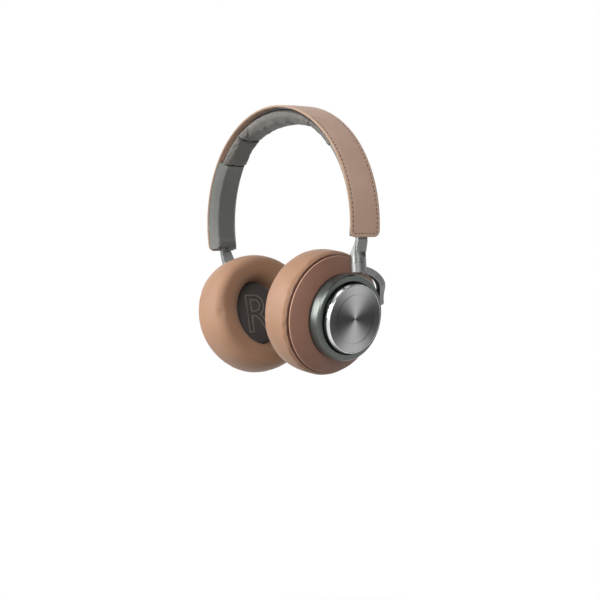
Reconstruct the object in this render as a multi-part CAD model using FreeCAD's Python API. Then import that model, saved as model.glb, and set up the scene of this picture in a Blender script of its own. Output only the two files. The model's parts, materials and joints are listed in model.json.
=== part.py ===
import FreeCAD
import Part
import math
import os

os.makedirs("parts", exist_ok=True)

# Over-ear headphones, in millimetres.
# +Z is up, +X points to the wearer's left, and the wearer looks along -Y.
# The origin is on the underside of the top pad, in the middle of the arch.
# Depths in the arch are measured inwards from the outer face of its leather, and
# angles in it from the crown. Each cup is drawn in a frame of its own, with X along
# its axis to the outside, and is then leaned and carried to its place.

# ---- Arch: three tangent arcs, seen from the front ----
PAD_CROWN_T = 14.0          # crown of the leather to the underside of the top pad
BAND_HALF_WIDTH = 91.5      # middle to the widest point of the leather
BAND_TOP_R = 95.0           # outer radius over the head
BLEND_DEG = 40.0            # where the top arc meets the side arc
END_DEG = 100.2             # end of the leather strip
BAND_WIDTH = 26.0
LEATHER_T = 1.8
LEATHER_CORNER_R = 4.5

SPRING_T = 0.8
SPRING_WIDTH = 12.0
SPRING_END_DEG = 66.0
SPRING_GAP_DEG = 0.2        # end of the spring to the end of its seat

# ---- Lining: pads, sleeves and their caps ----
TOP_SEAM_DEG = 30.0
SIDE_SEAM_DEG = 50.0
SEAM_HALF_GAP_DEG = 0.15
PAD_SECTIONS = 8
PAD_SEAM_DIP = 1.0          # side pad below the top pad at their seam
SOFT_GAP = 0.3              # a soft piece to what carries it
OVERCUT = 1.0               # reach of a cutter past the face that it leaves
PAD_BASE_WIDTH = 25.2
PAD_FACE_WIDTH = 17.0
PAD_SEAM_T = 9.6            # leather face to pad face at the top seam
PAD_SIDE_T = 9.2            # the same in the middle of a side pad
SLEEVE_BASE_WIDTH = 24.6
SLEEVE_FACE_WIDTH = 14.6
SLEEVE_WALL = 0.6
SLEEVE_EDGE_R = 2.0
CAP_START_DEG = 95.6
CAP_END_DEG = 99.7
CAP_PROUD = 0.35
CAP_EDGE_R = 3.0
CAP_NOSE = 2.4              # rounding of the cap's lower inner corner
NOSE_SHARE = 0.35           # how far the middle of that rounding stands in from the corner

# ---- Arm that slides in the sleeve ----
BAR_T = 3.6
BAR_WIDTH = 8.5
BAR_DEPTH = 4.1             # widest point of the leather to the outer face of the bar
BAR_EDGE_R = 0.5
SLIDE_CLEARANCE = 0.1
ARM_STROKE = 24.0
BAR_GRIP = 8.5              # bar still held in the sleeve at full stroke
BAR_TOP_GAP = 0.5
GROOVE_WIDTH = 1.9          # cable groove in the inner face
GROOVE_DEPTH = 0.8
DETENT_PITCH = 2.0
DETENT_COUNT = 12
DETENT_R = 0.45
DETENT_BITE = 0.2
LEAF_T = 0.3
LEAF_WIDTH = 2.0
LEAF_LENGTH = 8.0
LEAF_RISE = 1.3
LEAF_UP = 13.0              # end of the sleeve to the middle of the leaf
LEAF_GAP = 0.15
NECK_START = 1.2            # end of the leather to where the bar begins to widen
NECK_LEAN = 2.4             # lower end of the bar's outer face, inside its upper part
NECK_HOLLOW = 0.9           # hollow of the neck's inner side
SCOOP_R = 8.0
SCOOP_UP = 3.4              # middle of the scoop above the barrel

# ---- Swivel barrel ----
BARREL_R = 5.4
BARREL_LEN = 11.0
BARREL_SETBACK = 0.8        # outer side of the barrel inside the bar's outer face
BARREL_CAP_LEN = 4.0        # upper share of the barrel, on the arm
BARREL_SPLIT = 0.15
BARREL_EDGE_R = 0.5
BARREL_GAP = 1.1            # barrel above the housing's rim
SWIVEL_PIN_R = 1.5
SWIVEL_PIN_UP = 3.4         # pin above the split
SWIVEL_PIN_DOWN = 4.6
PIN_END_GAP = 0.2           # end of the pin to the end of its bush
BUSH_WALL = 0.9
PIN_CLEARANCE = 0.05
PRESS_CLEARANCE = 0.02

# ---- Cup: place and lean ----
CUP_INSET = 24.6            # barrel axis to the middle of the cup frame
CUP_FORWARD = 0.8           # cup axis in front of the barrel axis
CUP_DROP = 52.9             # end of the leather to the cup axis
CUP_LEAN_DEG = 10.0         # outer face leans down
CUP_TOE_DEG = 4.4           # outer face turns back, about the barrel

# ---- Outer housing and disc, along the cup axis ----
HOUSING_R = 30.8
HOUSING_BACK = 6.45
HOUSING_FRONT = 14.95
HOUSING_WALL = 2.4
HOUSING_FLOOR = 1.0
HOUSING_EDGE_R = 1.0
LIP_T = 1.0
WIRE_HOLE_R = 6.0
DISC_R = 23.8
DISC_FACE = 19.85
DISC_T = 1.4
DISC_EDGE = 0.25
DISC_GROOVE_SHARE = 0.73    # fine turned ring, as a share of the disc
DISC_GROOVE_W = 0.5
DISC_GROOVE_D = 0.15
BEZEL_WALL = 0.6
BEZEL_TAPER = 1.5
BEZEL_BEVEL = 0.7
BEZEL_LEDGE = 1.4
BEZEL_FLANGE_T = 0.7
BEZEL_GAP = 0.4
BEZEL_DROP = 0.1            # crest of the bezel below the disc's face
BOARD_T = 1.0
BOARD_DROP = 1.3            # underside of the disc to the board
BATTERY_R = 14.0
BATTERY_T = 5.3
SEAT_GAP = 0.15

# ---- Shell behind the housing ----
NECK_R = 27.2
NECK_LEN = 1.75
CONE_SMALL_R = 30.5
CONE_START = 4.9
CONE_LARGE_R = 42.1
CONE_END = -1.7
CONE_BULGE = 0.35
SKIN_T = 0.9
SHELL_WALL = 2.0
RIM_LEN = 0.9

# ---- Baffle, driver and cushion ----
BAFFLE_R = 39.4
BAFFLE_T = 1.5
DRIVER_R = 20.0
DRIVER_FLANGE_R = 22.5
DRIVER_FLANGE_T = 1.0
DRIVER_DEPTH = 3.6
DRIVER_WALL = 0.8
MAGNET_R = 12.0
MAGNET_T = 4.0
MAGNET_SINK = 0.4           # front of the magnet inside the basket's floor
DIAPHRAGM_T = 0.3
DIAPHRAGM_RISE = 1.6
DOME_SHARE = 0.75           # rise of the dome half way out
CUSHION_RING_T = 1.2
CUSHION_RING_IN_R = 27.0
SCREW_COUNT = 3
SCREW_START_DEG = 60.0
SCREW_CIRCLE_R = 35.0
SCREW_R = 1.0
SCREW_HEAD_R = 1.9
SCREW_HEAD_T = 0.8
SCREW_GRIP = 2.2
SCREW_SINK = 0.1            # screw head below the spring's outer face
SPRING_SCREW_SHARES = (0.35, 0.75)  # places of the screws along the lap of spring and sleeve
BOSS_R = 2.3
CUSHION_R = 44.0
CUSHION_ROUND_R = 8.0       # radial half axis of the rounded side
CUSHION_MID = -16.0
CUSHION_HALF_T = 16.1
CUSHION_SHOULDER = -9.5     # where the side turns in towards the shell's rim
CUSHION_STEP_IN = 3.8
QUARTER_STEPS = 6
CUSHION_CROWN_IN_R = 31.0
CUSHION_GROOVE = 0.8        # gap between the shell's rim and the cushion
OPENING_HIGH = 24.4         # half height of the oval opening
OPENING_WIDE = 19.5         # half width
OPENING_FLARE = 5.5
OPENING_FLOOR = -17.0
CLOTH_T = 0.8
CLOTH_DROP = 0.8

# ---- Yoke arm and its pivot ----
ARM_GAP = 1.5               # housing to the inner side of the arm
ARM_ROOT_T = 5.2
ARM_TIP_T = 3.4
ARM_BELLY = 0.2             # fuller than a straight taper in the middle
TIP_ROUND = 0.7             # round of the tip, as a share of its thickness
TIP_REACH = 1.6             # tip below the pivot, as a share of its thickness
BEND_EASE = 0.45            # softness of the arm's S-bend
ARM_ROOT_DEG = 4.0
ARM_DEPTH_ROOT = 4.4        # along the cup axis
ARM_DEPTH_TIP = 3.4
PIVOT_UP = 10.0             # pivot above the cup axis
PIVOT_OUT = 10.35           # pivot along the cup axis
TILT_PIN_R = 1.5
TILT_PIN_IN = 8.6           # pin inside the housing's outer radius
TILT_PIN_SEAT = 2.2
PIVOT_BUSH_R = 2.4
PIVOT_FLANGE_R = 2.7
PIVOT_FLANGE_T = 2.2
PIVOT_BUSH_LEN = 6.8

# ---- Sockets and switch in the right housing ----
SOCKET_OUT = 10.35
JACK_BORE_R = 1.8
JACK_R = 2.8
JACK_LEN = 14.0
JACK_SIDE = -10.0
JACK_SINK = 0.6             # mouth of the socket below the housing's side
JACK_FLOOR = 1.0
PORT_WIDTH = 9.0
PORT_HEIGHT = 3.2
PORT_DEPTH = 7.3
PORT_WALL = 0.35
PORT_SINK = 0.3
PORT_FLOOR = 1.0
TONGUE_SINK = 0.8           # contact tongue behind the mouth of the port
FIT_GAP = 0.1
SWITCH_DEG = 24.0
SWITCH_TRAVEL = 2.0
SWITCH_LENGTH = 5.0
SWITCH_WIDTH = 2.6
SWITCH_PROUD = 0.9
SWITCH_RIB_R = 0.4
SWITCH_RIB_LIFT = 0.15      # middle of a grip groove above the button's face
SWITCH_LAP = 0.2            # stem let into the button and into the plate
SWITCH_STEM = 1.4
SWITCH_PLATE_T = 0.8

Vec = FreeCAD.Vector
X_AXIS = Vec(1, 0, 0)
Y_AXIS = Vec(0, 1, 0)
Z_AXIS = Vec(0, 0, 1)
ORIGIN = Vec(0, 0, 0)

SAME = 0.01                 # two lengths are the same within this

# ---- Places that follow from the sizes above ----
SIN_BLEND = math.sin(math.radians(BLEND_DEG))
COS_BLEND = math.cos(math.radians(BLEND_DEG))
BAND_SIDE_R = (BAND_HALF_WIDTH - BAND_TOP_R * SIN_BLEND) / (1 - SIN_BLEND)
TOP_CENTRE_Z = PAD_CROWN_T - BAND_TOP_R
SIDE_CENTRE_X = (BAND_TOP_R - BAND_SIDE_R) * SIN_BLEND
SIDE_CENTRE_Z = TOP_CENTRE_Z + (BAND_TOP_R - BAND_SIDE_R) * COS_BLEND
END_Z = SIDE_CENTRE_Z + BAND_SIDE_R * math.cos(math.radians(END_DEG))

PAD_BASE_DEPTH = LEATHER_T + SPRING_T + SOFT_GAP
SLEEVE_T = BAR_DEPTH + BAR_T + SLIDE_CLEARANCE + SLEEVE_WALL
BAR_OUT_X = BAND_HALF_WIDTH - BAR_DEPTH
BAR_IN_X = BAR_OUT_X - BAR_T
BAR_TOP_Z = END_Z + ARM_STROKE + BAR_GRIP
BARREL_X = BAR_OUT_X - BARREL_SETBACK - BARREL_R

LEAN = math.radians(CUP_LEAN_DEG)
CUP_CENTRE = Vec(BARREL_X - CUP_INSET, -CUP_FORWARD, END_Z - CUP_DROP)
RIM_TOP_Z = CUP_CENTRE.z - HOUSING_FRONT * math.sin(LEAN) + HOUSING_R * math.cos(LEAN)
BARREL_BOTTOM_Z = RIM_TOP_Z + BARREL_GAP
BARREL_TOP_Z = BARREL_BOTTOM_Z + BARREL_LEN
SPLIT_Z = BARREL_TOP_Z - BARREL_CAP_LEN

HOUSING_IN_R = HOUSING_R - HOUSING_WALL
ARM_IN_R = HOUSING_R + ARM_GAP
BEZEL_R = DISC_R + BEZEL_WALL
LIP_IN_R = BEZEL_R + BEZEL_TAPER + BEZEL_GAP
FLOOR_FACE = HOUSING_BACK + HOUSING_FLOOR
RIM_FACE = CONE_END - RIM_LEN
BAFFLE_BACK = RIM_FACE
BAFFLE_FRONT = BAFFLE_BACK - BAFFLE_T
CUSHION_BACK = BAFFLE_FRONT - CUSHION_RING_T - SOFT_GAP
CUSHION_EDGE = RIM_FACE - CUSHION_GROOVE


def export(shape, node):
    """Write one node."""
    shape.exportStep("parts/" + node + ".step")


def mirrored(shape):
    """The right-hand copy of a left-hand piece."""
    return shape.mirror(ORIGIN, X_AXIS)


def export_pair(shape, stem):
    """Write the left piece and its mirror image on the right."""
    export(shape, stem + "_left")
    export(mirrored(shape), stem + "_right")


def cylinder(radius, start, end):
    """Round bar between two points."""
    return Part.makeCylinder(radius, (end - start).Length, start, end - start)


def box(low, high):
    """Block between two opposite corners."""
    size = high - low
    return Part.makeBox(size.x, size.y, size.z, low)


def polygon_face(points):
    """Flat face inside a closed run of points."""
    return Part.Face(Part.makePolygon(points + [points[0]]))


def lines_through(points):
    """Straight edges through points."""
    return [Part.LineSegment(a, b).toShape() for a, b in zip(points, points[1:])]


def turned(outline):
    """Solid turned about the cup axis from points (along the axis, radius)."""
    face = polygon_face([Vec(along, 0, radius) for along, radius in outline])
    return face.revolve(ORIGIN, X_AXIS, 360)


def placed(shape):
    """Lean a piece of the left cup, carry it to its place and turn it about the barrel."""
    result = shape.copy()
    result.rotate(ORIGIN, Y_AXIS, CUP_LEAN_DEG)
    result.translate(CUP_CENTRE)
    result.rotate(Vec(BARREL_X, 0, 0), Z_AXIS, CUP_TOE_DEG)
    return result


# ---- Arch geometry ----
def band_point(deg, depth, across=0.0):
    """Point of the arch at an angle from the crown and a depth under its face."""
    centre_x = 0.0
    centre_z = TOP_CENTRE_Z
    radius = BAND_TOP_R
    if abs(deg) > BLEND_DEG:
        centre_x = SIDE_CENTRE_X * math.copysign(1, deg)
        centre_z = SIDE_CENTRE_Z
        radius = BAND_SIDE_R
    angle = math.radians(deg)
    reach = radius - depth
    return Vec(centre_x + reach * math.sin(angle), across, centre_z + reach * math.cos(angle))


def band_run(depth, start, end):
    """Arcs of the arch at one depth, between two angles."""
    stops = [start] + [b for b in (-BLEND_DEG, BLEND_DEG) if start < b < end] + [end]
    arcs = []
    for a, b in zip(stops, stops[1:]):
        middle = band_point((a + b) / 2, depth)
        arcs.append(Part.Arc(band_point(a, depth), middle, band_point(b, depth)).toShape())
    return arcs


def band_strip(depth, thickness, start, end, width):
    """Strip that follows the arch."""
    edges = band_run(depth, start, end) + band_run(depth + thickness, start, end)
    for deg in (start, end):
        ends = Part.LineSegment(band_point(deg, depth), band_point(deg, depth + thickness))
        edges.append(ends.toShape())
    face = Part.Face(Part.Wire(Part.__sortEdges__(edges)))
    face.translate(Vec(0, -width / 2, 0))
    return face.extrude(Vec(0, width, 0))


def band_trapezoid(deg, base_depth, face_depth, base_width, face_width):
    """Section across the arch that narrows towards the head."""
    half_base = base_width / 2
    half_face = face_width / 2
    return [
        band_point(deg, base_depth, -half_base),
        band_point(deg, face_depth, -half_face),
        band_point(deg, face_depth, half_face),
        band_point(deg, base_depth, half_base),
    ]


def rounded_section(deg, base_depth, face_depth, base_width, face_width, edge_r):
    """The same section as a face, with its two corners on the head's side rounded."""
    half_face = face_width / 2
    lean = math.atan2(base_width / 2 - half_face, face_depth - base_depth)
    turn = math.pi / 2 - lean
    cut = edge_r * math.tan(turn / 2)
    base_left, base_right = (band_point(deg, base_depth, side * base_width / 2) for side in (-1, 1))
    edges = [Part.LineSegment(base_left, base_right).toShape()]
    ends = []
    for side, base in ((-1, base_left), (1, base_right)):
        across = half_face - cut
        on_face = band_point(deg, face_depth, side * across)
        middle = band_point(deg, face_depth - edge_r * (1 - math.cos(turn / 2)),
                            side * (across + edge_r * math.sin(turn / 2)))
        on_side = band_point(deg, face_depth - cut * math.cos(lean),
                             side * (half_face + cut * math.sin(lean)))
        edges.append(Part.Arc(on_face, middle, on_side).toShape())
        edges.append(Part.LineSegment(on_side, base).toShape())
        ends.append(on_face)
    edges.append(Part.LineSegment(*ends).toShape())
    return Part.Face(Part.Wire(Part.__sortEdges__(edges)))


def side_turned(face, start, end):
    """Turn a section about the left side arc."""
    return face.revolve(Vec(SIDE_CENTRE_X, 0, SIDE_CENTRE_Z), Y_AXIS, end - start)


# ---- Headband ----
def headband_leather():
    """Outer leather strip with rounded ends."""
    strip = band_strip(0, LEATHER_T, -END_DEG, END_DEG, BAND_WIDTH)
    corners = [edge for edge in strip.Edges if abs(edge.Length - LEATHER_T) < SAME]
    return strip.makeFillet(LEATHER_CORNER_R, corners)


def screw_angles():
    """Angles of the two screws that hold the spring to a sleeve."""
    span = SPRING_END_DEG - SIDE_SEAM_DEG
    return [SIDE_SEAM_DEG + span * share for share in SPRING_SCREW_SHARES]


def headband_spring():
    """Spring steel band under the leather, drilled for the sleeve screws."""
    band = band_strip(LEATHER_T, SPRING_T, -SPRING_END_DEG, SPRING_END_DEG, SPRING_WIDTH)
    for deg in screw_angles():
        for side in (-1, 1):
            top = band_point(side * deg, LEATHER_T - OVERCUT)
            bottom = band_point(side * deg, LEATHER_T + SPRING_T + OVERCUT)
            band = band.cut(cylinder(SCREW_HEAD_R + PIN_CLEARANCE, top, bottom))
    return band


def sleeve_screws():
    """Four countersunk screws through the spring into the sleeves."""
    screws = []
    for deg in screw_angles():
        for side in (-1, 1):
            top = band_point(side * deg, LEATHER_T + SCREW_SINK)
            step = band_point(side * deg, LEATHER_T + SPRING_T)
            tip = band_point(side * deg, LEATHER_T + SPRING_T + SCREW_GRIP)
            head = Part.makeCone(SCREW_HEAD_R, SCREW_R, SPRING_T - SCREW_SINK, top, step - top)
            screws.append(head.fuse(cylinder(SCREW_R, step, tip)).removeSplitter())
    return Part.makeCompound(screws)


def pad(start, end, mid_t, start_t, end_t):
    """Padded stretch of the lining, lofted through sections of changing height."""
    sections = []
    for i in range(PAD_SECTIONS + 1):
        share = i / PAD_SECTIONS
        swell = math.sin(math.pi * share)
        face_depth = start_t + (end_t - start_t) * share
        face_depth += (mid_t - (start_t + end_t) / 2) * swell
        deg = start + (end - start) * share
        corners = band_trapezoid(deg, PAD_BASE_DEPTH, face_depth, PAD_BASE_WIDTH, PAD_FACE_WIDTH)
        sections.append(Part.makePolygon(corners + [corners[0]]))
    return Part.makeLoft(sections, True, True)


def top_pad():
    """Thick pad over the head."""
    reach = TOP_SEAM_DEG - SEAM_HALF_GAP_DEG
    return pad(-reach, reach, PAD_CROWN_T, PAD_SEAM_T, PAD_SEAM_T)


def side_pad():
    """Thinner pad between the top pad and the left sleeve."""
    start = TOP_SEAM_DEG + SEAM_HALF_GAP_DEG
    end = SIDE_SEAM_DEG - SEAM_HALF_GAP_DEG
    return pad(start, end, PAD_SIDE_T, PAD_SEAM_T - PAD_SEAM_DIP, SLEEVE_T)


# ---- Sleeve that guides the arm ----
def bar_channel():
    """Straight way of the bar through the sleeve and its cap."""
    gap = SLIDE_CLEARANCE
    low = Vec(BAR_IN_X - gap, -BAR_WIDTH / 2 - gap, END_Z - BAR_DEPTH)
    high = Vec(BAR_OUT_X + gap, BAR_WIDTH / 2 + gap, BAR_TOP_Z + BAR_TOP_GAP)
    return box(low, high)


def leaf_pocket():
    """Pocket for the detent leaf, in front of the bar."""
    middle_x = (BAR_IN_X + BAR_OUT_X) / 2
    middle_z = END_Z + LEAF_UP
    half = LEAF_WIDTH / 2 + FIT_GAP
    depth = LEAF_RISE + LEAF_T + LEAF_GAP + FIT_GAP
    low = Vec(middle_x - half, -BAR_WIDTH / 2 - depth, middle_z - LEAF_LENGTH / 2 - FIT_GAP)
    high = Vec(middle_x + half, 0, middle_z + LEAF_LENGTH / 2 + FIT_GAP)
    return box(low, high)


def slider_sleeve():
    """Moulded sleeve of the left side, bored for the bar and seated on the spring."""
    start = SIDE_SEAM_DEG
    end = CAP_START_DEG
    section = rounded_section(start, LEATHER_T, SLEEVE_T, SLEEVE_BASE_WIDTH, SLEEVE_FACE_WIDTH,
                              SLEEVE_EDGE_R)
    sleeve = side_turned(section, start, end)
    width = SPRING_WIDTH + 2 * FIT_GAP
    seat = band_strip(LEATHER_T - OVERCUT, SPRING_T + OVERCUT, start - SPRING_GAP_DEG,
                      SPRING_END_DEG + SPRING_GAP_DEG, width)
    sleeve = sleeve.cut(seat)
    for deg in screw_angles():
        top = band_point(deg, LEATHER_T)
        tip = band_point(deg, LEATHER_T + SPRING_T + SCREW_GRIP)
        sleeve = sleeve.cut(cylinder(SCREW_R, top, tip))
    return sleeve.cut(bar_channel()).cut(leaf_pocket())


def cap_nose(face_t):
    """What is taken from the cap's lower inner corner to round it."""
    back = math.degrees(CAP_NOSE / (BAND_SIDE_R - face_t))
    upper = band_point(CAP_END_DEG - back, face_t)
    middle = band_point(CAP_END_DEG - back * NOSE_SHARE, face_t - CAP_NOSE * NOSE_SHARE)
    lower = band_point(CAP_END_DEG, face_t - CAP_NOSE)
    edges = [Part.Arc(upper, middle, lower).toShape()]
    edges += lines_through([
        lower,
        band_point(CAP_END_DEG + back, face_t - CAP_NOSE),
        band_point(CAP_END_DEG + back, face_t + OVERCUT),
        band_point(CAP_END_DEG - back, face_t + OVERCUT),
        upper,
    ])
    corner = Part.Face(Part.Wire(edges))
    corner.translate(Vec(0, -SLEEVE_BASE_WIDTH / 2, 0))
    return corner.extrude(Vec(0, SLEEVE_BASE_WIDTH, 0))


def sleeve_cap():
    """Rounded end cap of the left sleeve, through which the bar comes out."""
    start = CAP_START_DEG
    face_t = SLEEVE_T + CAP_PROUD
    base_width = SLEEVE_BASE_WIDTH
    face_width = SLEEVE_FACE_WIDTH + 2 * CAP_PROUD
    section = rounded_section(start, LEATHER_T, face_t, base_width, face_width, CAP_EDGE_R)
    cap = side_turned(section, start, CAP_END_DEG)
    return cap.cut(cap_nose(face_t)).cut(bar_channel())


def detent_leaf():
    """Bowed leaf that drops into the notches of the bar."""
    middle_x = (BAR_IN_X + BAR_OUT_X) / 2
    middle_z = END_Z + LEAF_UP
    crest = -BAR_WIDTH / 2 - LEAF_GAP
    foot = crest - LEAF_RISE
    half = LEAF_LENGTH / 2
    x = middle_x - LEAF_WIDTH / 2
    edges = []
    for drop in (0, LEAF_T):
        low = Vec(x, foot - drop, middle_z - half)
        top = Vec(x, crest - drop, middle_z)
        high = Vec(x, foot - drop, middle_z + half)
        edges.append(Part.Arc(low, top, high).toShape())
    for z in (middle_z - half, middle_z + half):
        edges.append(Part.LineSegment(Vec(x, foot, z), Vec(x, foot - LEAF_T, z)).toShape())
    face = Part.Face(Part.Wire(Part.__sortEdges__(edges)))
    return face.extrude(Vec(LEAF_WIDTH, 0, 0))


# ---- Arm ----
def across_prism(edges):
    """Prism over the whole width of the barrel, from an outline seen from the front."""
    face = Part.Face(Part.Wire(edges))
    half = BARREL_R + OVERCUT
    face.translate(Vec(0, -half, 0))
    return face.extrude(Vec(0, 2 * half, 0))


def neck_z():
    """Height where the bar begins to widen."""
    return END_Z - NECK_START


def barrel_head():
    """Upper half of the barrel, carried up and tapered to the width of the bar."""
    shank = cylinder(BARREL_R, Vec(BARREL_X, 0, SPLIT_Z), Vec(BARREL_X, 0, neck_z()))
    wide = BARREL_R + OVERCUT
    narrow = BAR_WIDTH / 2
    x = BARREL_X - wide
    taper = polygon_face([
        Vec(x, -wide, SPLIT_Z), Vec(x, wide, SPLIT_Z), Vec(x, wide, BARREL_TOP_Z),
        Vec(x, BARREL_R, BARREL_TOP_Z), Vec(x, narrow, neck_z()), Vec(x, -narrow, neck_z()),
        Vec(x, -BARREL_R, BARREL_TOP_Z), Vec(x, -wide, BARREL_TOP_Z),
    ])
    return shank.common(taper.extrude(Vec(2 * wide, 0, 0)))


def inner_hollow():
    """What is milled from the inner side, so that the neck widens down to the barrel."""
    upper = Vec(BAR_IN_X, 0, neck_z())
    lower = Vec(BARREL_X - BARREL_R, 0, BARREL_TOP_Z)
    way = (lower - upper).normalize()
    middle = (upper + lower) * 0.5 + Vec(-way.z, 0, way.x) * NECK_HOLLOW
    far = Vec(lower.x - OVERCUT, 0, lower.z)
    back = Vec(far.x, 0, neck_z() + OVERCUT)
    top = Vec(BAR_IN_X, 0, neck_z() + OVERCUT)
    return across_prism([Part.Arc(upper, middle, lower).toShape()]
                        + lines_through([lower, far, back, top, upper]))


def outer_scoop():
    """What is milled from the outer side: a leaning flat that ends in a round scoop."""
    low_x = BAR_OUT_X - NECK_LEAN
    low_z = BARREL_TOP_Z + SCOOP_UP
    far_x = BARREL_X + BARREL_R + OVERCUT + NECK_LEAN
    flat = across_prism(lines_through([
        Vec(BAR_OUT_X, 0, neck_z()), Vec(low_x, 0, low_z), Vec(far_x, 0, low_z),
        Vec(far_x, 0, neck_z()), Vec(BAR_OUT_X, 0, neck_z()),
    ]))
    return flat.fuse(Part.makeSphere(SCOOP_R, Vec(low_x + SCOOP_R, 0, low_z)))


def slider_arm():
    """Bar, scooped neck and upper half of the swivel barrel, milled from one piece."""
    foot_z = BARREL_TOP_Z + SCOOP_UP
    half = BAR_WIDTH / 2
    bar = box(Vec(BAR_IN_X, -half, foot_z), Vec(BAR_OUT_X, half, BAR_TOP_Z))
    uprights = [edge for edge in bar.Edges if abs(edge.Length - (BAR_TOP_Z - foot_z)) < SAME]
    bar = bar.makeFillet(BAR_EDGE_R, uprights)
    arm = bar.fuse(barrel_head()).cut(inner_hollow()).cut(outer_scoop())
    groove_low = Vec(BAR_IN_X - OVERCUT, -GROOVE_WIDTH / 2, neck_z())
    groove_high = Vec(BAR_IN_X + GROOVE_DEPTH, GROOVE_WIDTH / 2, BAR_TOP_Z + OVERCUT)
    arm = arm.cut(box(groove_low, groove_high))
    for i in range(DETENT_COUNT):
        z = END_Z + LEAF_UP + i * DETENT_PITCH
        y = -half - DETENT_R + DETENT_BITE
        notch = cylinder(DETENT_R, Vec(BAR_IN_X - OVERCUT, y, z), Vec(BAR_OUT_X + OVERCUT, y, z))
        arm = arm.cut(notch)
    bore_top = Vec(BARREL_X, 0, SPLIT_Z + SWIVEL_PIN_UP)
    bore_end = Vec(BARREL_X, 0, SPLIT_Z - OVERCUT)
    bore_r = SWIVEL_PIN_R + PIN_CLEARANCE + BUSH_WALL + PRESS_CLEARANCE
    return arm.cut(cylinder(bore_r, bore_end, bore_top))


def swivel_bush():
    """Plain bush pressed into the barrel of the arm."""
    low = Vec(BARREL_X, 0, SPLIT_Z)
    high = Vec(BARREL_X, 0, SPLIT_Z + SWIVEL_PIN_UP)
    bore_r = SWIVEL_PIN_R + PIN_CLEARANCE
    return cylinder(bore_r + BUSH_WALL, low, high).cut(cylinder(bore_r, low, high))


# ---- Yoke ----
def ring_point(radius, deg):
    """Point of the cup's cross plane, at an angle from its top to the back."""
    angle = math.radians(deg)
    return Vec(0, radius * math.sin(angle), radius * math.cos(angle))


def arm_outline():
    """Yoke arm seen along the cup axis: an arc band that narrows to its tip."""
    root_in = ring_point(ARM_IN_R, ARM_ROOT_DEG)
    root_out = ring_point(ARM_IN_R + ARM_ROOT_T, ARM_ROOT_DEG)
    mid_deg = (ARM_ROOT_DEG + tip_deg()) / 2
    mid_in = ring_point(ARM_IN_R, mid_deg)
    mid_out = ring_point(ARM_IN_R + (ARM_ROOT_T + ARM_TIP_T) / 2 + ARM_BELLY, mid_deg)
    tip_in = ring_point(ARM_IN_R, tip_deg())
    tip_out = ring_point(ARM_IN_R + ARM_TIP_T, tip_deg())
    tip_end = ring_point(ARM_IN_R + ARM_TIP_T / 2, tip_deg() + tip_round_deg())
    edges = [
        Part.Arc(root_out, mid_out, tip_out).toShape(),
        Part.Arc(tip_out, tip_end, tip_in).toShape(),
        Part.Arc(tip_in, mid_in, root_in).toShape(),
        Part.LineSegment(root_in, root_out).toShape(),
    ]
    return Part.Face(Part.Wire(edges))


def tip_deg():
    """Angle of the pivot about the cup axis."""
    return math.degrees(math.acos(PIVOT_UP / (ARM_IN_R + ARM_TIP_T / 2)))


def tip_round_deg():
    """Angle that the round tip reaches past the pivot."""
    return math.degrees(ARM_TIP_T * TIP_ROUND / ARM_IN_R)


def barrel_along():
    """Barrel axis at the arm's height, measured along the cup axis."""
    rise = (BARREL_BOTTOM_Z + SPLIT_Z) / 2 - CUP_CENTRE.z
    return CUP_INSET * math.cos(LEAN) - rise * math.sin(LEAN)


def arm_sideways():
    """Yoke arm seen from behind: an S-shaped band from the barrel in to the pivot."""
    top_z = ARM_IN_R + ARM_ROOT_T + 2 * OVERCUT
    bend_z = ARM_IN_R * math.cos(math.radians(ARM_ROOT_DEG)) - OVERCUT
    low_z = PIVOT_UP - OVERCUT
    end_z = PIVOT_UP - ARM_TIP_T * TIP_REACH
    curves = []
    for side in (-1, 1):
        root = barrel_along() + side * ARM_DEPTH_ROOT / 2
        tip = PIVOT_OUT + side * ARM_DEPTH_TIP / 2
        bend = Part.BezierCurve()
        handle = (bend_z - low_z) * BEND_EASE
        poles = [Vec(root, 0, bend_z), Vec(root, 0, bend_z - handle)]
        poles += [Vec(tip, 0, low_z + handle), Vec(tip, 0, low_z)]
        bend.setPoles(poles)
        curves.append(Part.LineSegment(Vec(root, 0, top_z), poles[0]).toShape())
        curves.append(bend.toShape())
        curves.append(Part.LineSegment(poles[3], Vec(tip, 0, end_z)).toShape())
    root_near = barrel_along() - ARM_DEPTH_ROOT / 2
    root_far = barrel_along() + ARM_DEPTH_ROOT / 2
    tip_near = PIVOT_OUT - ARM_DEPTH_TIP / 2
    tip_far = PIVOT_OUT + ARM_DEPTH_TIP / 2
    curves.append(Part.LineSegment(Vec(root_near, 0, top_z), Vec(root_far, 0, top_z)).toShape())
    curves.append(Part.LineSegment(Vec(tip_near, 0, end_z), Vec(tip_far, 0, end_z)).toShape())
    return Part.Face(Part.Wire(Part.__sortEdges__(curves)))


def tilt_pin_ends():
    """Inner and outer ends of the tilt pin."""
    wall = math.sqrt(HOUSING_R ** 2 - PIVOT_UP ** 2)
    inner = Vec(PIVOT_OUT, wall - TILT_PIN_IN, PIVOT_UP)
    arm_face = math.sqrt(ARM_IN_R ** 2 - PIVOT_UP ** 2)
    return inner, Vec(PIVOT_OUT, arm_face + TILT_PIN_SEAT, PIVOT_UP)


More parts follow.
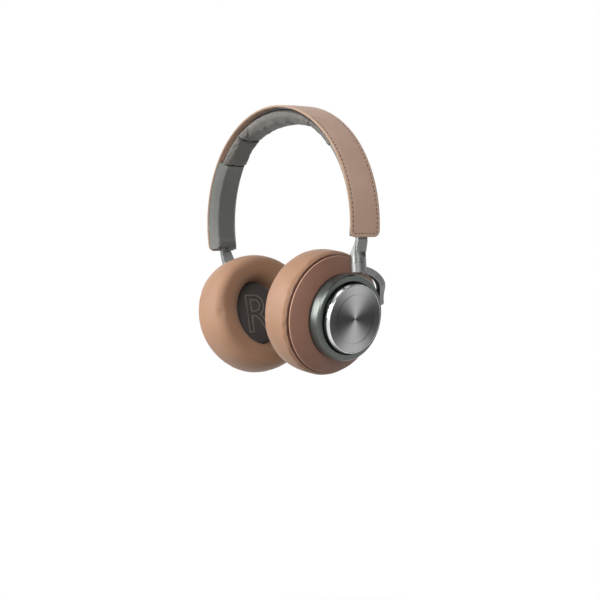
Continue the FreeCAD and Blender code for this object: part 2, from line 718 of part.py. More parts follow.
def yoke():
    """Lower barrel with the one-sided arm that curves behind the housing."""
    outline = arm_outline().extrude(Vec(HOUSING_R, 0, 0))
    sideways = arm_sideways().extrude(Vec(0, 2 * HOUSING_R, 0))
    arm = outline.common(sideways)
    inner, outer = tilt_pin_ends()
    arm = arm.cut(cylinder(TILT_PIN_R + PRESS_CLEARANCE, inner, outer))
    low = Vec(BARREL_X, 0, BARREL_BOTTOM_Z)
    high = Vec(BARREL_X, 0, SPLIT_Z - BARREL_SPLIT)
    barrel = cylinder(BARREL_R, low, high)
    foot = [edge for edge in barrel.Edges if abs(edge.CenterOfMass.z - low.z) < SAME]
    barrel = barrel.makeFillet(BARREL_EDGE_R, foot)
    piece = barrel.fuse(placed(arm))
    return piece.cut(cylinder(SWIVEL_PIN_R + PRESS_CLEARANCE, high - Z_AXIS * SWIVEL_PIN_DOWN, high))


def swivel_pin():
    """Upright pin between the two halves of the barrel."""
    low = Vec(BARREL_X, 0, SPLIT_Z - BARREL_SPLIT - SWIVEL_PIN_DOWN)
    return cylinder(SWIVEL_PIN_R, low, Vec(BARREL_X, 0, SPLIT_Z + SWIVEL_PIN_UP - PIN_END_GAP))


def tilt_pin():
    """Cross pin from the arm's tip into the housing."""
    inner, outer = tilt_pin_ends()
    return placed(cylinder(TILT_PIN_R, inner, outer))


# ---- Housing, disc and what they hold ----
def cup_housing():
    """Round outer housing with a lip at its mouth and the pivot hole."""
    outline = [
        (HOUSING_BACK, WIRE_HOLE_R),
        (HOUSING_BACK, HOUSING_R - HOUSING_EDGE_R),
        (HOUSING_BACK + HOUSING_EDGE_R, HOUSING_R),
        (HOUSING_FRONT - HOUSING_EDGE_R, HOUSING_R),
        (HOUSING_FRONT, HOUSING_R - HOUSING_EDGE_R),
        (HOUSING_FRONT, LIP_IN_R),
        (HOUSING_FRONT - LIP_T, LIP_IN_R),
        (HOUSING_FRONT - LIP_T, HOUSING_IN_R),
        (FLOOR_FACE, HOUSING_IN_R),
        (FLOOR_FACE, WIRE_HOLE_R),
    ]
    inner, outer = tilt_pin_ends()
    return turned(outline).cut(cylinder(PIVOT_BUSH_R + PRESS_CLEARANCE, inner, outer))


def jack_ends():
    """Outer and inner ends of the jack socket."""
    wall = math.sqrt(HOUSING_R ** 2 - JACK_SIDE ** 2)
    outer = Vec(SOCKET_OUT, JACK_SIDE, -wall + JACK_SINK)
    return outer, outer + Z_AXIS * JACK_LEN


def port_block(grow):
    """Outside of the charging port, grown by a clearance."""
    low = Vec(SOCKET_OUT - PORT_HEIGHT / 2 - grow, -PORT_WIDTH / 2 - grow, -HOUSING_R + PORT_SINK - grow)
    high = Vec(SOCKET_OUT + PORT_HEIGHT / 2 + grow, PORT_WIDTH / 2 + grow, low.z + PORT_DEPTH)
    return box(low, high)


def switch_turned(shape):
    """Carry a piece from the bottom of the housing round to the switch's place."""
    result = shape.copy()
    result.rotate(ORIGIN, X_AXIS, SWITCH_DEG)
    return result


def switch_slot():
    """Slot in the housing wall for the stem of the switch."""
    half_x = SWITCH_STEM / 2 + FIT_GAP
    half_y = SWITCH_LENGTH / 4 + SWITCH_TRAVEL + FIT_GAP
    low = Vec(SOCKET_OUT - half_x, -half_y, -HOUSING_R - OVERCUT)
    return switch_turned(box(low, Vec(SOCKET_OUT + half_x, half_y, -HOUSING_IN_R + OVERCUT)))


def socket_housing():
    """Right housing: the plain one, cut for the jack, the port and the switch."""
    outer, inner = jack_ends()
    piece = cup_housing()
    piece = piece.cut(cylinder(JACK_R + PIN_CLEARANCE, outer - Z_AXIS * JACK_R, inner))
    piece = piece.cut(port_block(FIT_GAP)).cut(port_block(FIT_GAP).translated(Z_AXIS * -2 * OVERCUT))
    return piece.cut(switch_slot())


def jack_socket():
    """Socket barrel for a 3.5 mm plug."""
    outer, inner = jack_ends()
    return cylinder(JACK_R, outer, inner + Z_AXIS * JACK_FLOOR).cut(cylinder(JACK_BORE_R, outer, inner))


def charge_port():
    """Charging socket: an open shell with its contact tongue."""
    block = port_block(0)
    bound = block.BoundBox
    low = Vec(bound.XMin + PORT_WALL, bound.YMin + PORT_WALL, bound.ZMin - OVERCUT)
    high = Vec(bound.XMax - PORT_WALL, bound.YMax - PORT_WALL, bound.ZMax - PORT_FLOOR)
    shell = block.cut(box(low, high))
    tongue_half = PORT_HEIGHT / 10
    tongue_low = Vec(SOCKET_OUT - tongue_half, -PORT_WIDTH / 4, bound.ZMin + TONGUE_SINK)
    tongue_high = Vec(SOCKET_OUT + tongue_half, PORT_WIDTH / 4, bound.ZMax)
    return shell.fuse(box(tongue_low, tongue_high)).removeSplitter()


def power_switch():
    """Ribbed slide button with its stem and inner plate."""
    face = -HOUSING_R - SOFT_GAP
    half = SWITCH_LENGTH / 2
    knob = box(Vec(SOCKET_OUT - SWITCH_WIDTH / 2, -half, face - SWITCH_PROUD),
               Vec(SOCKET_OUT + SWITCH_WIDTH / 2, half, face))
    for i in (-1, 0, 1):
        y = i * SWITCH_LENGTH / 4
        start = Vec(SOCKET_OUT - SWITCH_WIDTH, y, face - SWITCH_PROUD - SWITCH_RIB_LIFT)
        knob = knob.cut(cylinder(SWITCH_RIB_R, start, start + X_AXIS * 2 * SWITCH_WIDTH))
    plate_top = -HOUSING_IN_R + 2 * SOFT_GAP
    stem = box(Vec(SOCKET_OUT - SWITCH_STEM / 2, -SWITCH_LENGTH / 4, face - SWITCH_LAP),
               Vec(SOCKET_OUT + SWITCH_STEM / 2, SWITCH_LENGTH / 4, plate_top + SWITCH_LAP))
    plate = box(Vec(SOCKET_OUT - SWITCH_WIDTH / 2, -half, plate_top),
                Vec(SOCKET_OUT + SWITCH_WIDTH / 2, half, plate_top + SWITCH_PLATE_T))
    return switch_turned(knob.fuse([stem, plate]).removeSplitter())


def disc_bezel():
    """Polished ring that stands round the disc and is held by its flange."""
    flange_top = HOUSING_FRONT - LIP_T
    ledge = DISC_FACE - DISC_T
    flange_r = HOUSING_IN_R - FIT_GAP
    return turned([
        (flange_top - BEZEL_FLANGE_T, DISC_R - BEZEL_LEDGE),
        (flange_top - BEZEL_FLANGE_T, flange_r),
        (flange_top, flange_r),
        (flange_top, BEZEL_R + BEZEL_TAPER),
        (DISC_FACE - BEZEL_BEVEL, BEZEL_R),
        (DISC_FACE - BEZEL_DROP, DISC_R + FIT_GAP),
        (ledge, DISC_R + FIT_GAP),
        (ledge, DISC_R - BEZEL_LEDGE),
    ])


def touch_disc():
    """Turned disc with one fine ring cut in its face."""
    ring_r = DISC_R * DISC_GROOVE_SHARE
    half = DISC_GROOVE_W / 2
    return turned([
        (DISC_FACE - DISC_T, 0),
        (DISC_FACE - DISC_T, DISC_R),
        (DISC_FACE - DISC_EDGE, DISC_R),
        (DISC_FACE, DISC_R - DISC_EDGE),
        (DISC_FACE, ring_r + half),
        (DISC_FACE - DISC_GROOVE_D, ring_r),
        (DISC_FACE, ring_r - half),
        (DISC_FACE, 0),
    ])


def circuit_board():
    """Round board under the disc of the right cup."""
    top = DISC_FACE - DISC_T - BOARD_DROP
    radius = DISC_R - BEZEL_LEDGE - SOFT_GAP
    return cylinder(radius, Vec(top - BOARD_T, 0, 0), Vec(top, 0, 0))


def battery():
    """Round cell on the floor of the left housing."""
    start = FLOOR_FACE + SEAT_GAP
    return cylinder(BATTERY_R, Vec(start, 0, 0), Vec(start + BATTERY_T, 0, 0))


def pivot_bush():
    """Flanged bush in the housing wall for the tilt pin."""
    inner, outer = tilt_pin_ends()
    bush = cylinder(PIVOT_BUSH_R, inner, inner + Y_AXIS * PIVOT_BUSH_LEN)
    bush = bush.fuse(cylinder(PIVOT_FLANGE_R, inner, inner + Y_AXIS * PIVOT_FLANGE_T))
    return bush.cut(cylinder(TILT_PIN_R + PIN_CLEARANCE, inner, outer)).removeSplitter()


# ---- Shell ----
def cone_radius(along, sink):
    """Radius of the cone, sunk square to its side by a depth."""
    run = CONE_START - CONE_END
    rise = CONE_LARGE_R - CONE_SMALL_R
    return CONE_SMALL_R + (CONE_START - along) * rise / run - sink * math.hypot(run, rise) / run


def cone_side(sink, start=CONE_START):
    """Outline of the cone's side between its ends, sunk by a depth."""
    low = Vec(start, 0, cone_radius(start, sink))
    return low, Vec(CONE_END, 0, cone_radius(CONE_END, sink))


def bulged(start, end, lift):
    """Shallow arc between two points, raised to the outside."""
    direction = (end - start).normalize()
    middle = (start + end) * 0.5 + Vec(direction.z, 0, -direction.x) * lift
    return Part.Arc(start, middle, end).toShape()


def turned_edges(edges):
    """Solid turned about the cup axis from edges."""
    face = Part.Face(Part.Wire(Part.__sortEdges__(edges)))
    return face.revolve(ORIGIN, X_AXIS, 360)


def run_of_lines(points):
    """Straight edges through points (along the axis, radius)."""
    return lines_through([Vec(along, 0, radius) for along, radius in points])


def shell_leather():
    """Leather skin over the cone, ending in a square lip."""
    outer_start, outer_end = cone_side(0)
    inner_start, inner_end = cone_side(SKIN_T)
    lip_r = CONE_LARGE_R - SKIN_T
    lip = [(CONE_END, CONE_LARGE_R), (RIM_FACE, CONE_LARGE_R), (RIM_FACE, lip_r), (CONE_END, lip_r)]
    edges = [bulged(outer_start, outer_end, CONE_BULGE), bulged(inner_start, inner_end, CONE_BULGE)]
    edges += run_of_lines(lip + [(CONE_END, inner_end.z)])
    edges += run_of_lines([(CONE_START, outer_start.z), (CONE_START, inner_start.z)])
    return turned_edges(edges)


def screw_places():
    """Places of the baffle screws about the cup axis."""
    return [ring_point(SCREW_CIRCLE_R, SCREW_START_DEG + 360 * i / SCREW_COUNT) for i in range(SCREW_COUNT)]


def cup_shell():
    """Moulded cone with a neck for the housing and bosses for the baffle."""
    neck_end = HOUSING_BACK - FIT_GAP
    floor = neck_end - NECK_LEN - SHELL_WALL
    outer_start, outer_end = cone_side(SKIN_T)
    inner_start, inner_end = cone_side(SKIN_T + SHELL_WALL, floor)
    rim_r = CONE_LARGE_R - SKIN_T
    edges = [bulged(outer_start, outer_end, CONE_BULGE)]
    edges += run_of_lines([
        (CONE_END, outer_end.z),
        (CONE_END, rim_r),
        (RIM_FACE, rim_r),
        (RIM_FACE, inner_end.z),
        (CONE_END, inner_end.z),
        (floor, inner_start.z),
        (floor, WIRE_HOLE_R),
        (neck_end, WIRE_HOLE_R),
        (neck_end, NECK_R),
        (CONE_START, NECK_R),
        (CONE_START, outer_start.z),
    ])
    shell = turned_edges(edges)
    for place in screw_places():
        foot = place + X_AXIS * RIM_FACE
        shell = shell.fuse(cylinder(BOSS_R, foot, foot + X_AXIS * SCREW_GRIP))
        shell = shell.cut(cylinder(SCREW_R, foot, foot + X_AXIS * SCREW_GRIP))
    return shell


# ---- Baffle and driver ----
def baffle():
    """Plate that closes the shell and carries the driver."""
    plate = turned([
        (BAFFLE_FRONT, DRIVER_R + FIT_GAP),
        (BAFFLE_FRONT, BAFFLE_R),
        (BAFFLE_BACK, BAFFLE_R),
        (BAFFLE_BACK, DRIVER_R + FIT_GAP),
    ])
    for place in screw_places():
        start = place + X_AXIS * (BAFFLE_FRONT - OVERCUT)
        plate = plate.cut(cylinder(SCREW_R + PIN_CLEARANCE, start, start + X_AXIS * (BAFFLE_T + 2 * OVERCUT)))
    return plate


def baffle_screws():
    """Three screws through the baffle into the shell."""
    screws = []
    for place in screw_places():
        seat = place + X_AXIS * BAFFLE_FRONT
        head = cylinder(SCREW_HEAD_R, seat - X_AXIS * SCREW_HEAD_T, seat)
        shank = cylinder(SCREW_R, seat, seat + X_AXIS * (BAFFLE_T + SCREW_GRIP - FIT_GAP))
        screws.append(head.fuse(shank).removeSplitter())
    return Part.makeCompound(screws)


def driver_frame():
    """Basket of the driver, flanged on the front of the baffle."""
    front = BAFFLE_FRONT - DRIVER_FLANGE_T
    back = BAFFLE_FRONT + DRIVER_DEPTH
    return turned([
        (front, DRIVER_R - DRIVER_WALL),
        (front, DRIVER_FLANGE_R),
        (BAFFLE_FRONT, DRIVER_FLANGE_R),
        (BAFFLE_FRONT, DRIVER_R),
        (back, DRIVER_R),
        (back, MAGNET_R + FIT_GAP),
        (back - DRIVER_WALL, MAGNET_R + FIT_GAP),
        (back - DRIVER_WALL, DRIVER_R - DRIVER_WALL),
    ])


def driver_magnet():
    """Magnet and pole pot, through the back of the basket."""
    front = BAFFLE_FRONT + DRIVER_DEPTH - DRIVER_WALL - MAGNET_SINK
    return cylinder(MAGNET_R, Vec(front, 0, 0), Vec(front + MAGNET_T, 0, 0))


def diaphragm():
    """Thin domed cone across the mouth of the basket."""
    rim_r = DRIVER_R - DRIVER_WALL - FIT_GAP
    rim = BAFFLE_FRONT - DRIVER_FLANGE_T / 2
    edges = []
    for shift in (0, DIAPHRAGM_T):
        centre = Vec(rim - DIAPHRAGM_RISE + shift, 0, 0)
        middle = Vec(rim - DIAPHRAGM_RISE * DOME_SHARE + shift, 0, rim_r / 2)
        edges.append(Part.Arc(centre, middle, Vec(rim + shift, 0, rim_r)).toShape())
    edges += run_of_lines([(rim, rim_r), (rim + DIAPHRAGM_T, rim_r)])
    edges += run_of_lines([(rim - DIAPHRAGM_RISE, 0), (rim - DIAPHRAGM_RISE + DIAPHRAGM_T, 0)])
    return turned_edges(edges)


# ---- Cushion ----
def cushion_ring():
    """Mounting ring of the cushion, drilled to clear the screw heads."""
    front = BAFFLE_FRONT - CUSHION_RING_T
    ring = turned([
        (front, CUSHION_RING_IN_R),
        (front, BAFFLE_R),
        (BAFFLE_FRONT, BAFFLE_R),
        (BAFFLE_FRONT, CUSHION_RING_IN_R),
    ])
    for place in screw_places():
        start = place + X_AXIS * (front - OVERCUT)
        end = start + X_AXIS * (CUSHION_RING_T + 2 * OVERCUT)
        ring = ring.cut(cylinder(SCREW_HEAD_R + FIT_GAP, start, end))
    return ring


def oval(along, high, wide):
    """Upright ellipse across the cup axis."""
    centre = Vec(along, 0, 0)
    curve = Part.Ellipse(centre + Z_AXIS * high, centre + Y_AXIS * wide, centre)
    return Part.Wire(curve.toShape())


def rounded_quarter(low, high):
    """Quarter of an ellipse from its foot (along, radius) up to its crest, in short chords."""
    points = []
    for step in range(QUARTER_STEPS + 1):
        angle = math.pi / 2 * step / QUARTER_STEPS
        along = high[0] + (low[0] - high[0]) * math.cos(angle)
        points.append((along, low[1] + (high[1] - low[1]) * math.sin(angle)))
    return run_of_lines(points)


def ear_cushion():
    """Rounded ring cushion with an oval opening, over its mounting ring."""
    crown = CUSHION_MID - CUSHION_HALF_T
    crown_out = CUSHION_R - CUSHION_ROUND_R
    skirt_r = BAFFLE_R + SOFT_GAP
    edge_r = CUSHION_R - CUSHION_STEP_IN
    edges = rounded_quarter((crown, crown_out), (CUSHION_MID, CUSHION_R))
    edges += run_of_lines([(CUSHION_MID, CUSHION_R), (CUSHION_SHOULDER, CUSHION_R)])
    edges += rounded_quarter((CUSHION_EDGE, edge_r), (CUSHION_SHOULDER, CUSHION_R))
    edges += run_of_lines([(crown, crown_out), (crown, 0), (CUSHION_BACK, 0), (CUSHION_BACK, skirt_r),
                           (CUSHION_EDGE, skirt_r), (CUSHION_EDGE, edge_r)])
    body = turned_edges(edges)
    through = Vec(CUSHION_BACK - OPENING_FLOOR + CUSHION_GROOVE, 0, 0)
    way = Part.Face(oval(OPENING_FLOOR, OPENING_HIGH, OPENING_WIDE)).extrude(through)
    mouth = oval(crown - SOFT_GAP, CUSHION_CROWN_IN_R, OPENING_WIDE + OPENING_FLARE)
    funnel = Part.makeLoft([oval(OPENING_FLOOR, OPENING_HIGH, OPENING_WIDE), mouth], True, True)
    return body.cut(way.fuse(funnel))


def speaker_cloth():
    """Oval cloth cover in the bottom of the opening."""
    high = OPENING_HIGH - SOFT_GAP
    wide = OPENING_WIDE - SOFT_GAP
    return Part.Face(oval(OPENING_FLOOR + CLOTH_DROP, high, wide)).extrude(Vec(CLOTH_T, 0, 0))


# ---- Build ----
export(headband_leather(), "headband_leather")
export(headband_spring(), "headband_spring")
export(sleeve_screws(), "sleeve_screws")
export(top_pad(), "headband_pad")
export_pair(side_pad(), "side_pad")
export_pair(slider_sleeve(), "slider_sleeve")
export_pair(sleeve_cap(), "sleeve_cap")
export_pair(detent_leaf(), "detent_leaf")

export_pair(slider_arm(), "slider_arm")
export_pair(swivel_bush(), "swivel_bush")
export_pair(yoke(), "yoke")
export_pair(swivel_pin(), "swivel_pin")
export_pair(tilt_pin(), "tilt_pin")

export(placed(cup_housing()), "cup_housing_left")
export(mirrored(placed(socket_housing())), "cup_housing_right")
for maker in (disc_bezel, touch_disc, pivot_bush, shell_leather, cup_shell, baffle, baffle_screws,
              driver_frame, driver_magnet, diaphragm, cushion_ring, ear_cushion, speaker_cloth):
    export_pair(placed(maker()), maker.__name__)

export(placed(battery()), "battery")
export(mirrored(placed(circuit_board())), "circuit_board")
export(mirrored(placed(jack_socket())), "jack_socket")
export(mirrored(placed(charge_port())), "charge_port")
export(mirrored(placed(power_switch())), "power_switch")
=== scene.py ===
import json
import math
import bmesh
import bpy
import numpy as np
from mathutils import Matrix, Vector, noise


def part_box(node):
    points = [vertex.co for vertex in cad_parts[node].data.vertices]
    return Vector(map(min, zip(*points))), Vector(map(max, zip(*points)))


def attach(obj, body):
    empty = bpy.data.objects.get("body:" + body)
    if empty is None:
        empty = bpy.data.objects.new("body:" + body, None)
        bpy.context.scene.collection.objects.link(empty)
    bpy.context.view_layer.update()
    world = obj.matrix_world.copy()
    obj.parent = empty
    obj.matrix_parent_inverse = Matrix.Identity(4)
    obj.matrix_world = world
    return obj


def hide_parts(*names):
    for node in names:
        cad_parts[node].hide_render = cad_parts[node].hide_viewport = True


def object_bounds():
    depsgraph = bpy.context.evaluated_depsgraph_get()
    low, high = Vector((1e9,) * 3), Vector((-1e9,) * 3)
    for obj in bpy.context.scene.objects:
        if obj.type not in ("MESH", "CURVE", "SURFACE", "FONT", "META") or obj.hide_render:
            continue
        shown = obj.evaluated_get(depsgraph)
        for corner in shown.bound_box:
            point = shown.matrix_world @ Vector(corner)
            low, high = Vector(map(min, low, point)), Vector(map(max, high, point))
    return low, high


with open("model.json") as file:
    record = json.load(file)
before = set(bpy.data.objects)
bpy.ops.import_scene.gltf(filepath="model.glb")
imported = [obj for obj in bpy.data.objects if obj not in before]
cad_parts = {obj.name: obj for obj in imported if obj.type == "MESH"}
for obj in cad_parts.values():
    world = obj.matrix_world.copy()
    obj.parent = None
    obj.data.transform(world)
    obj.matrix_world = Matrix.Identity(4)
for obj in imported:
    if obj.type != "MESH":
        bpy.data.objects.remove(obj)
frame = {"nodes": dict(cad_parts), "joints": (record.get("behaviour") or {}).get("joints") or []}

cad_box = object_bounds()
MM = 0.001


# ---- Headband leather ----
# One strip of vegetable-tanned leather with round corners and a burnished edge. It is sewn to the lining
# from the ends of the top pad down and across each end, with a thread that lies in a creased groove.
STRIP_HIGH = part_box("headband_leather")[1]
ARCH_HALF = STRIP_HIGH.x
STRIP_HALF = STRIP_HIGH.y
STRIP_T = 1.8 * MM
STRIP_CORNER = 4.5 * MM
STRIP_EDGE_ROUND = 0.6 * MM
CUT_REACH = 0.15 * MM
ARCH_TOP_R = 95 * MM
ARCH_BLEND = 40.0
ARCH_END = 100.2
SEW_FROM = 30.0
SEW_INSET = 2.5 * MM
SEW_DEPTH = 0.32 * MM
SEW_WIDTH = 0.5 * MM
STITCH_PITCH = 3.2 * MM
STITCH_LENGTH = 2.0 * MM
THREAD_R = 0.4 * MM
TAN = (0.47, 0.318, 0.238, 1)
TAN_DEEP = (0.4, 0.262, 0.195, 1)
CUT_EDGE = (0.3, 0.2, 0.135, 1)
THREAD_BROWN = (0.035, 0.02, 0.016, 1)

BLEND_SIN = math.sin(math.radians(ARCH_BLEND))
BLEND_COS = math.cos(math.radians(ARCH_BLEND))
ARCH_SIDE_R = (ARCH_HALF - ARCH_TOP_R * BLEND_SIN) / (1 - BLEND_SIN)
ARCH_TOP_Z = STRIP_HIGH.z - ARCH_TOP_R
ARCH_STEP = ARCH_TOP_R - ARCH_SIDE_R


def arch_point(deg, depth, across):
    """Point of the arch: degrees from the crown, depth under the leather's face, across to the back."""
    turn = math.radians(abs(deg))
    centre_x, centre_z, radius = 0.0, ARCH_TOP_Z, ARCH_TOP_R
    if abs(deg) > ARCH_BLEND:
        centre_x, centre_z, radius = ARCH_STEP * BLEND_SIN, ARCH_TOP_Z + ARCH_STEP * BLEND_COS, ARCH_SIDE_R
    x = centre_x + (radius - depth) * math.sin(turn)
    return Vector((math.copysign(x, deg), across, centre_z + (radius - depth) * math.cos(turn)))


def arch_length(deg):
    """Length of the leather's face from the crown to an angle."""
    top = min(abs(deg), ARCH_BLEND)
    side = max(abs(deg) - ARCH_BLEND, 0)
    return math.copysign(math.radians(top) * ARCH_TOP_R + math.radians(side) * ARCH_SIDE_R, deg)


def arch_angle(length):
    """Angle at a length along the leather's face from the crown."""
    top = min(abs(length), math.radians(ARCH_BLEND) * ARCH_TOP_R)
    side = abs(length) - top
    return math.copysign(math.degrees(top / ARCH_TOP_R + side / ARCH_SIDE_R), length)


def put(tree, kind, inputs=(), **settings):
    """Adds a shader node and sets its inputs, by name or number, to values or to other nodes' sockets."""
    made = tree.nodes.new(kind)
    for key, value in settings.items():
        setattr(made, key, value)
    for key, value in dict(inputs).items():
        if isinstance(value, bpy.types.NodeSocket):
            tree.links.new(value, made.inputs[key])
        else:
            made.inputs[key].default_value = value
    return made


def mixed(tree, share, first, second, mode="MIX"):
    """Colour between two others."""
    mix = put(tree, "ShaderNodeMix", {0: share, 6: first, 7: second}, data_type="RGBA", blend_type=mode)
    return mix.outputs[2]


def spread(tree, value, low, high, low_out, high_out):
    """Value carried from one range to another."""
    ranged = {"Value": value, "From Min": low, "From Max": high, "To Min": low_out, "To Max": high_out}
    return put(tree, "ShaderNodeMapRange", ranged).outputs["Result"]


def sums(tree, way, first, second):
    """Arithmetic on two values."""
    return put(tree, "ShaderNodeMath", {0: first, 1: second}, operation=way).outputs[0]


def new_material(name):
    """Material with a Principled surface; gives it with its tree, surface and object coordinates."""
    made = bpy.data.materials.new(name)
    made.use_nodes = True
    tree = made.node_tree
    place = put(tree, "ShaderNodeTexCoord").outputs["Object"]
    return made, tree, tree.nodes["Principled BSDF"], place


def raised(tree, surface, height, distance, strength):
    """Lets a height stand out of the surface."""
    bump = put(tree, "ShaderNodeBump", {"Height": height, "Distance": distance, "Strength": strength})
    tree.links.new(bump.outputs[0], surface.inputs["Normal"])


def new_group(name, values, results):
    """Shader node group; values are (name, kind, default) inputs and results are (name, kind) outputs."""
    tree = bpy.data.node_groups.new(name, "ShaderNodeTree")
    for label, kind, default in values:
        socket = tree.interface.new_socket(label, in_out="INPUT", socket_type=kind)
        if default is not None:
            socket.default_value = default
    for label, kind in results:
        tree.interface.new_socket(label, in_out="OUTPUT", socket_type=kind)
    return tree, tree.nodes.new("NodeGroupInput").outputs, tree.nodes.new("NodeGroupOutput").inputs


def use_group(tree, group, inputs):
    """Puts a node group in a material with its own values, and gives its outputs."""
    made = tree.nodes.new("ShaderNodeGroup")
    made.node_tree = group
    for key, value in inputs.items():
        if isinstance(value, bpy.types.NodeSocket):
            tree.links.new(value, made.inputs[key])
        else:
            made.inputs[key].default_value = value
    return made.outputs


def leather_grain():
    """Node group for leather: pebbled pores with fine creases between, and a slow change of tone."""
    tree, given, out = new_group(
        "Leather grain",
        [("Place", "NodeSocketVector", None), ("Grain per metre", "NodeSocketFloat", 1400.0),
         ("Crease", "NodeSocketFloat", 0.5)],
        [("Height", "NodeSocketFloat"), ("Tone", "NodeSocketFloat"), ("Pores", "NodeSocketFloat")])
    warp = put(tree, "ShaderNodeTexNoise", {"Vector": given["Place"], "Scale": 420.0, "Detail": 3.0})
    shifted = put(tree, "ShaderNodeVectorMath", {0: warp.outputs["Color"], "Scale": 0.0006},
                  operation="SCALE")
    moved = put(tree, "ShaderNodeVectorMath", {0: given["Place"], 1: shifted.outputs[0]}, operation="ADD")
    cells = put(tree, "ShaderNodeTexVoronoi", {"Vector": moved.outputs[0], "Scale": given["Grain per metre"]},
                feature="DISTANCE_TO_EDGE")
    pebble = spread(tree, cells.outputs["Distance"], 0.0, 0.22, 0.0, 1.0)
    fine = put(tree, "ShaderNodeTexNoise", {"Vector": given["Place"], "Scale": 5200.0, "Detail": 4.0})
    folds = put(tree, "ShaderNodeTexNoise", {"Vector": given["Place"], "Scale": 130.0, "Detail": 6.0,
                                             "Roughness": 0.62, "Distortion": 1.2})
    slow = put(tree, "ShaderNodeTexNoise", {"Vector": given["Place"], "Scale": 26.0, "Detail": 5.0})
    weighted = sums(tree, "MULTIPLY", folds.outputs["Fac"], given["Crease"])
    height = sums(tree, "ADD", sums(tree, "MULTIPLY", pebble, 0.55), weighted)
    height = sums(tree, "ADD", height, sums(tree, "MULTIPLY", fine.outputs["Fac"], 0.25))
    tree.links.new(height, out["Height"])
    tree.links.new(spread(tree, slow.outputs["Fac"], 0.3, 0.7, 0.0, 1.0), out["Tone"])
    tree.links.new(spread(tree, pebble, 0.0, 0.45, 1.0, 0.0), out["Pores"])
    return tree


LEATHER_GRAIN = leather_grain()


def edge_wear_and_highlight():
    """Node group for edges lighter from wear and a painted highlight, and darker hollows, by how sharply the
    surface turns.
    """
    tree, given, out = new_group(
        "Edge wear and highlight",
        [("Place", "NodeSocketVector", None), ("Reach", "NodeSocketFloat", 0.03)],
        [("Edge", "NodeSocketFloat"), ("Hollow", "NodeSocketFloat")])
    turn = put(tree, "ShaderNodeNewGeometry").outputs["Pointiness"]
    broken = put(tree, "ShaderNodeTexNoise", {"Vector": given["Place"], "Scale": 900.0, "Detail": 4.0})
    high = sums(tree, "ADD", given["Reach"], 0.5)
    low = sums(tree, "SUBTRACT", 0.5, given["Reach"])
    edge = spread(tree, turn, 0.505, high, 0.0, 1.0)
    patchy = spread(tree, broken.outputs["Fac"], 0.35, 0.65, 0.35, 1.0)
    tree.links.new(sums(tree, "MULTIPLY", edge, patchy), out["Edge"])
    tree.links.new(spread(tree, turn, 0.495, low, 0.0, 1.0), out["Hollow"])
    return tree


EDGE_WEAR_AND_HIGHLIGHT = edge_wear_and_highlight()


def leather(name, colour, deep, rough, grain=1400.0, crease=0.5, bump=0.00012, sheen=0.08):
    """Finished leather: grained, with darker pores and creases and a softly changing tone."""
    made, tree, surface, place = new_material(name)
    skin = use_group(tree, LEATHER_GRAIN, {"Place": place, "Grain per metre": grain, "Crease": crease})
    wear_and_highlight = use_group(tree, EDGE_WEAR_AND_HIGHLIGHT, {"Place": place, "Reach": 0.05})
    tone = mixed(tree, skin["Tone"], colour, deep)
    tone = mixed(tree, sums(tree, "MULTIPLY", skin["Pores"], 0.3), tone, deep)
    # Edges are lighter: partly rubbed wear, partly a painted highlight.
    rubbed = tuple(min(1.0, part * 1.25) for part in colour[:3]) + (1,)
    tone = mixed(tree, sums(tree, "MULTIPLY", wear_and_highlight["Edge"], 0.4), tone, rubbed)
    tree.links.new(tone, surface.inputs["Base Color"])
    tree.links.new(spread(tree, skin["Pores"], 0.0, 1.0, rough, rough + 0.18), surface.inputs["Roughness"])
    raised(tree, surface, skin["Height"], bump, 0.7)
    surface.inputs["Specular IOR Level"].default_value = 0.35
    surface.inputs["Sheen Weight"].default_value = sheen
    surface.inputs["Sheen Roughness"].default_value = 0.5
    return made


def with_edge(made, colour):
    """Another colour where the mesh marks an edge: a cut edge, a rim paler from stretching and a painted
    highlight, or painted shade.
    """
    tree = made.node_tree
    base = tree.nodes["Principled BSDF"].inputs["Base Color"]
    edge = put(tree, "ShaderNodeAttribute", {}, attribute_name="edge").outputs["Fac"]
    tree.links.new(mixed(tree, edge, base.links[0].from_socket, colour), base)
    return made


def mark_edge(piece, marks):
    """Marks the points of a piece that belong to its edge."""
    piece.data.attributes.new("edge", "FLOAT", "POINT").data.foreach_set("value", marks)


def add_piece(name, body, slot, material, points, faces):
    """Makes a closed mesh piece that rides on a body and takes a finish."""
    mesh = bpy.data.meshes.new(name)
    mesh.from_pydata([tuple(point) for point in points], [], faces)
    turned = bmesh.new()
    turned.from_mesh(mesh)
    bmesh.ops.recalc_face_normals(turned, faces=turned.faces)
    turned.to_mesh(mesh)
    turned.free()
    mesh.polygons.foreach_set("use_smooth", [True] * len(mesh.polygons))
    mesh.materials.append(material)
    piece = bpy.data.objects.new(name, mesh)
    bpy.context.scene.collection.objects.link(piece)
    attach(piece, body)
    return piece


def slab(top, bottom):
    """Closed skin of a sheet from the rows of its two faces."""
    rows, count = len(top), len(top[0])
    points = [point for row in top + bottom for point in row]
    under = rows * count
    faces = []
    for i in range(rows - 1):
        for j in range(count - 1):
            first = i * count + j
            quad = (first, first + 1, first + count + 1, first + count)
            faces.append(quad)
            faces.append(tuple(under + corner for corner in reversed(quad)))
    rim = list(range(count))
    rim += [i * count + count - 1 for i in range(1, rows)]
    rim += [(rows - 1) * count + j for j in range(count - 2, -1, -1)]
    rim += [i * count for i in range(rows - 2, 0, -1)]
    for first, second in zip(rim, rim[1:] + rim[:1]):
        faces.append((first, under + first, under + second, second))
    return points, faces


def rounded_off(inset, radius):
    """How far a rounded edge has dropped at a distance in from it."""
    if inset >= radius:
        return 0.0
    return radius - math.sqrt(radius ** 2 - (radius - max(inset, 0)) ** 2)


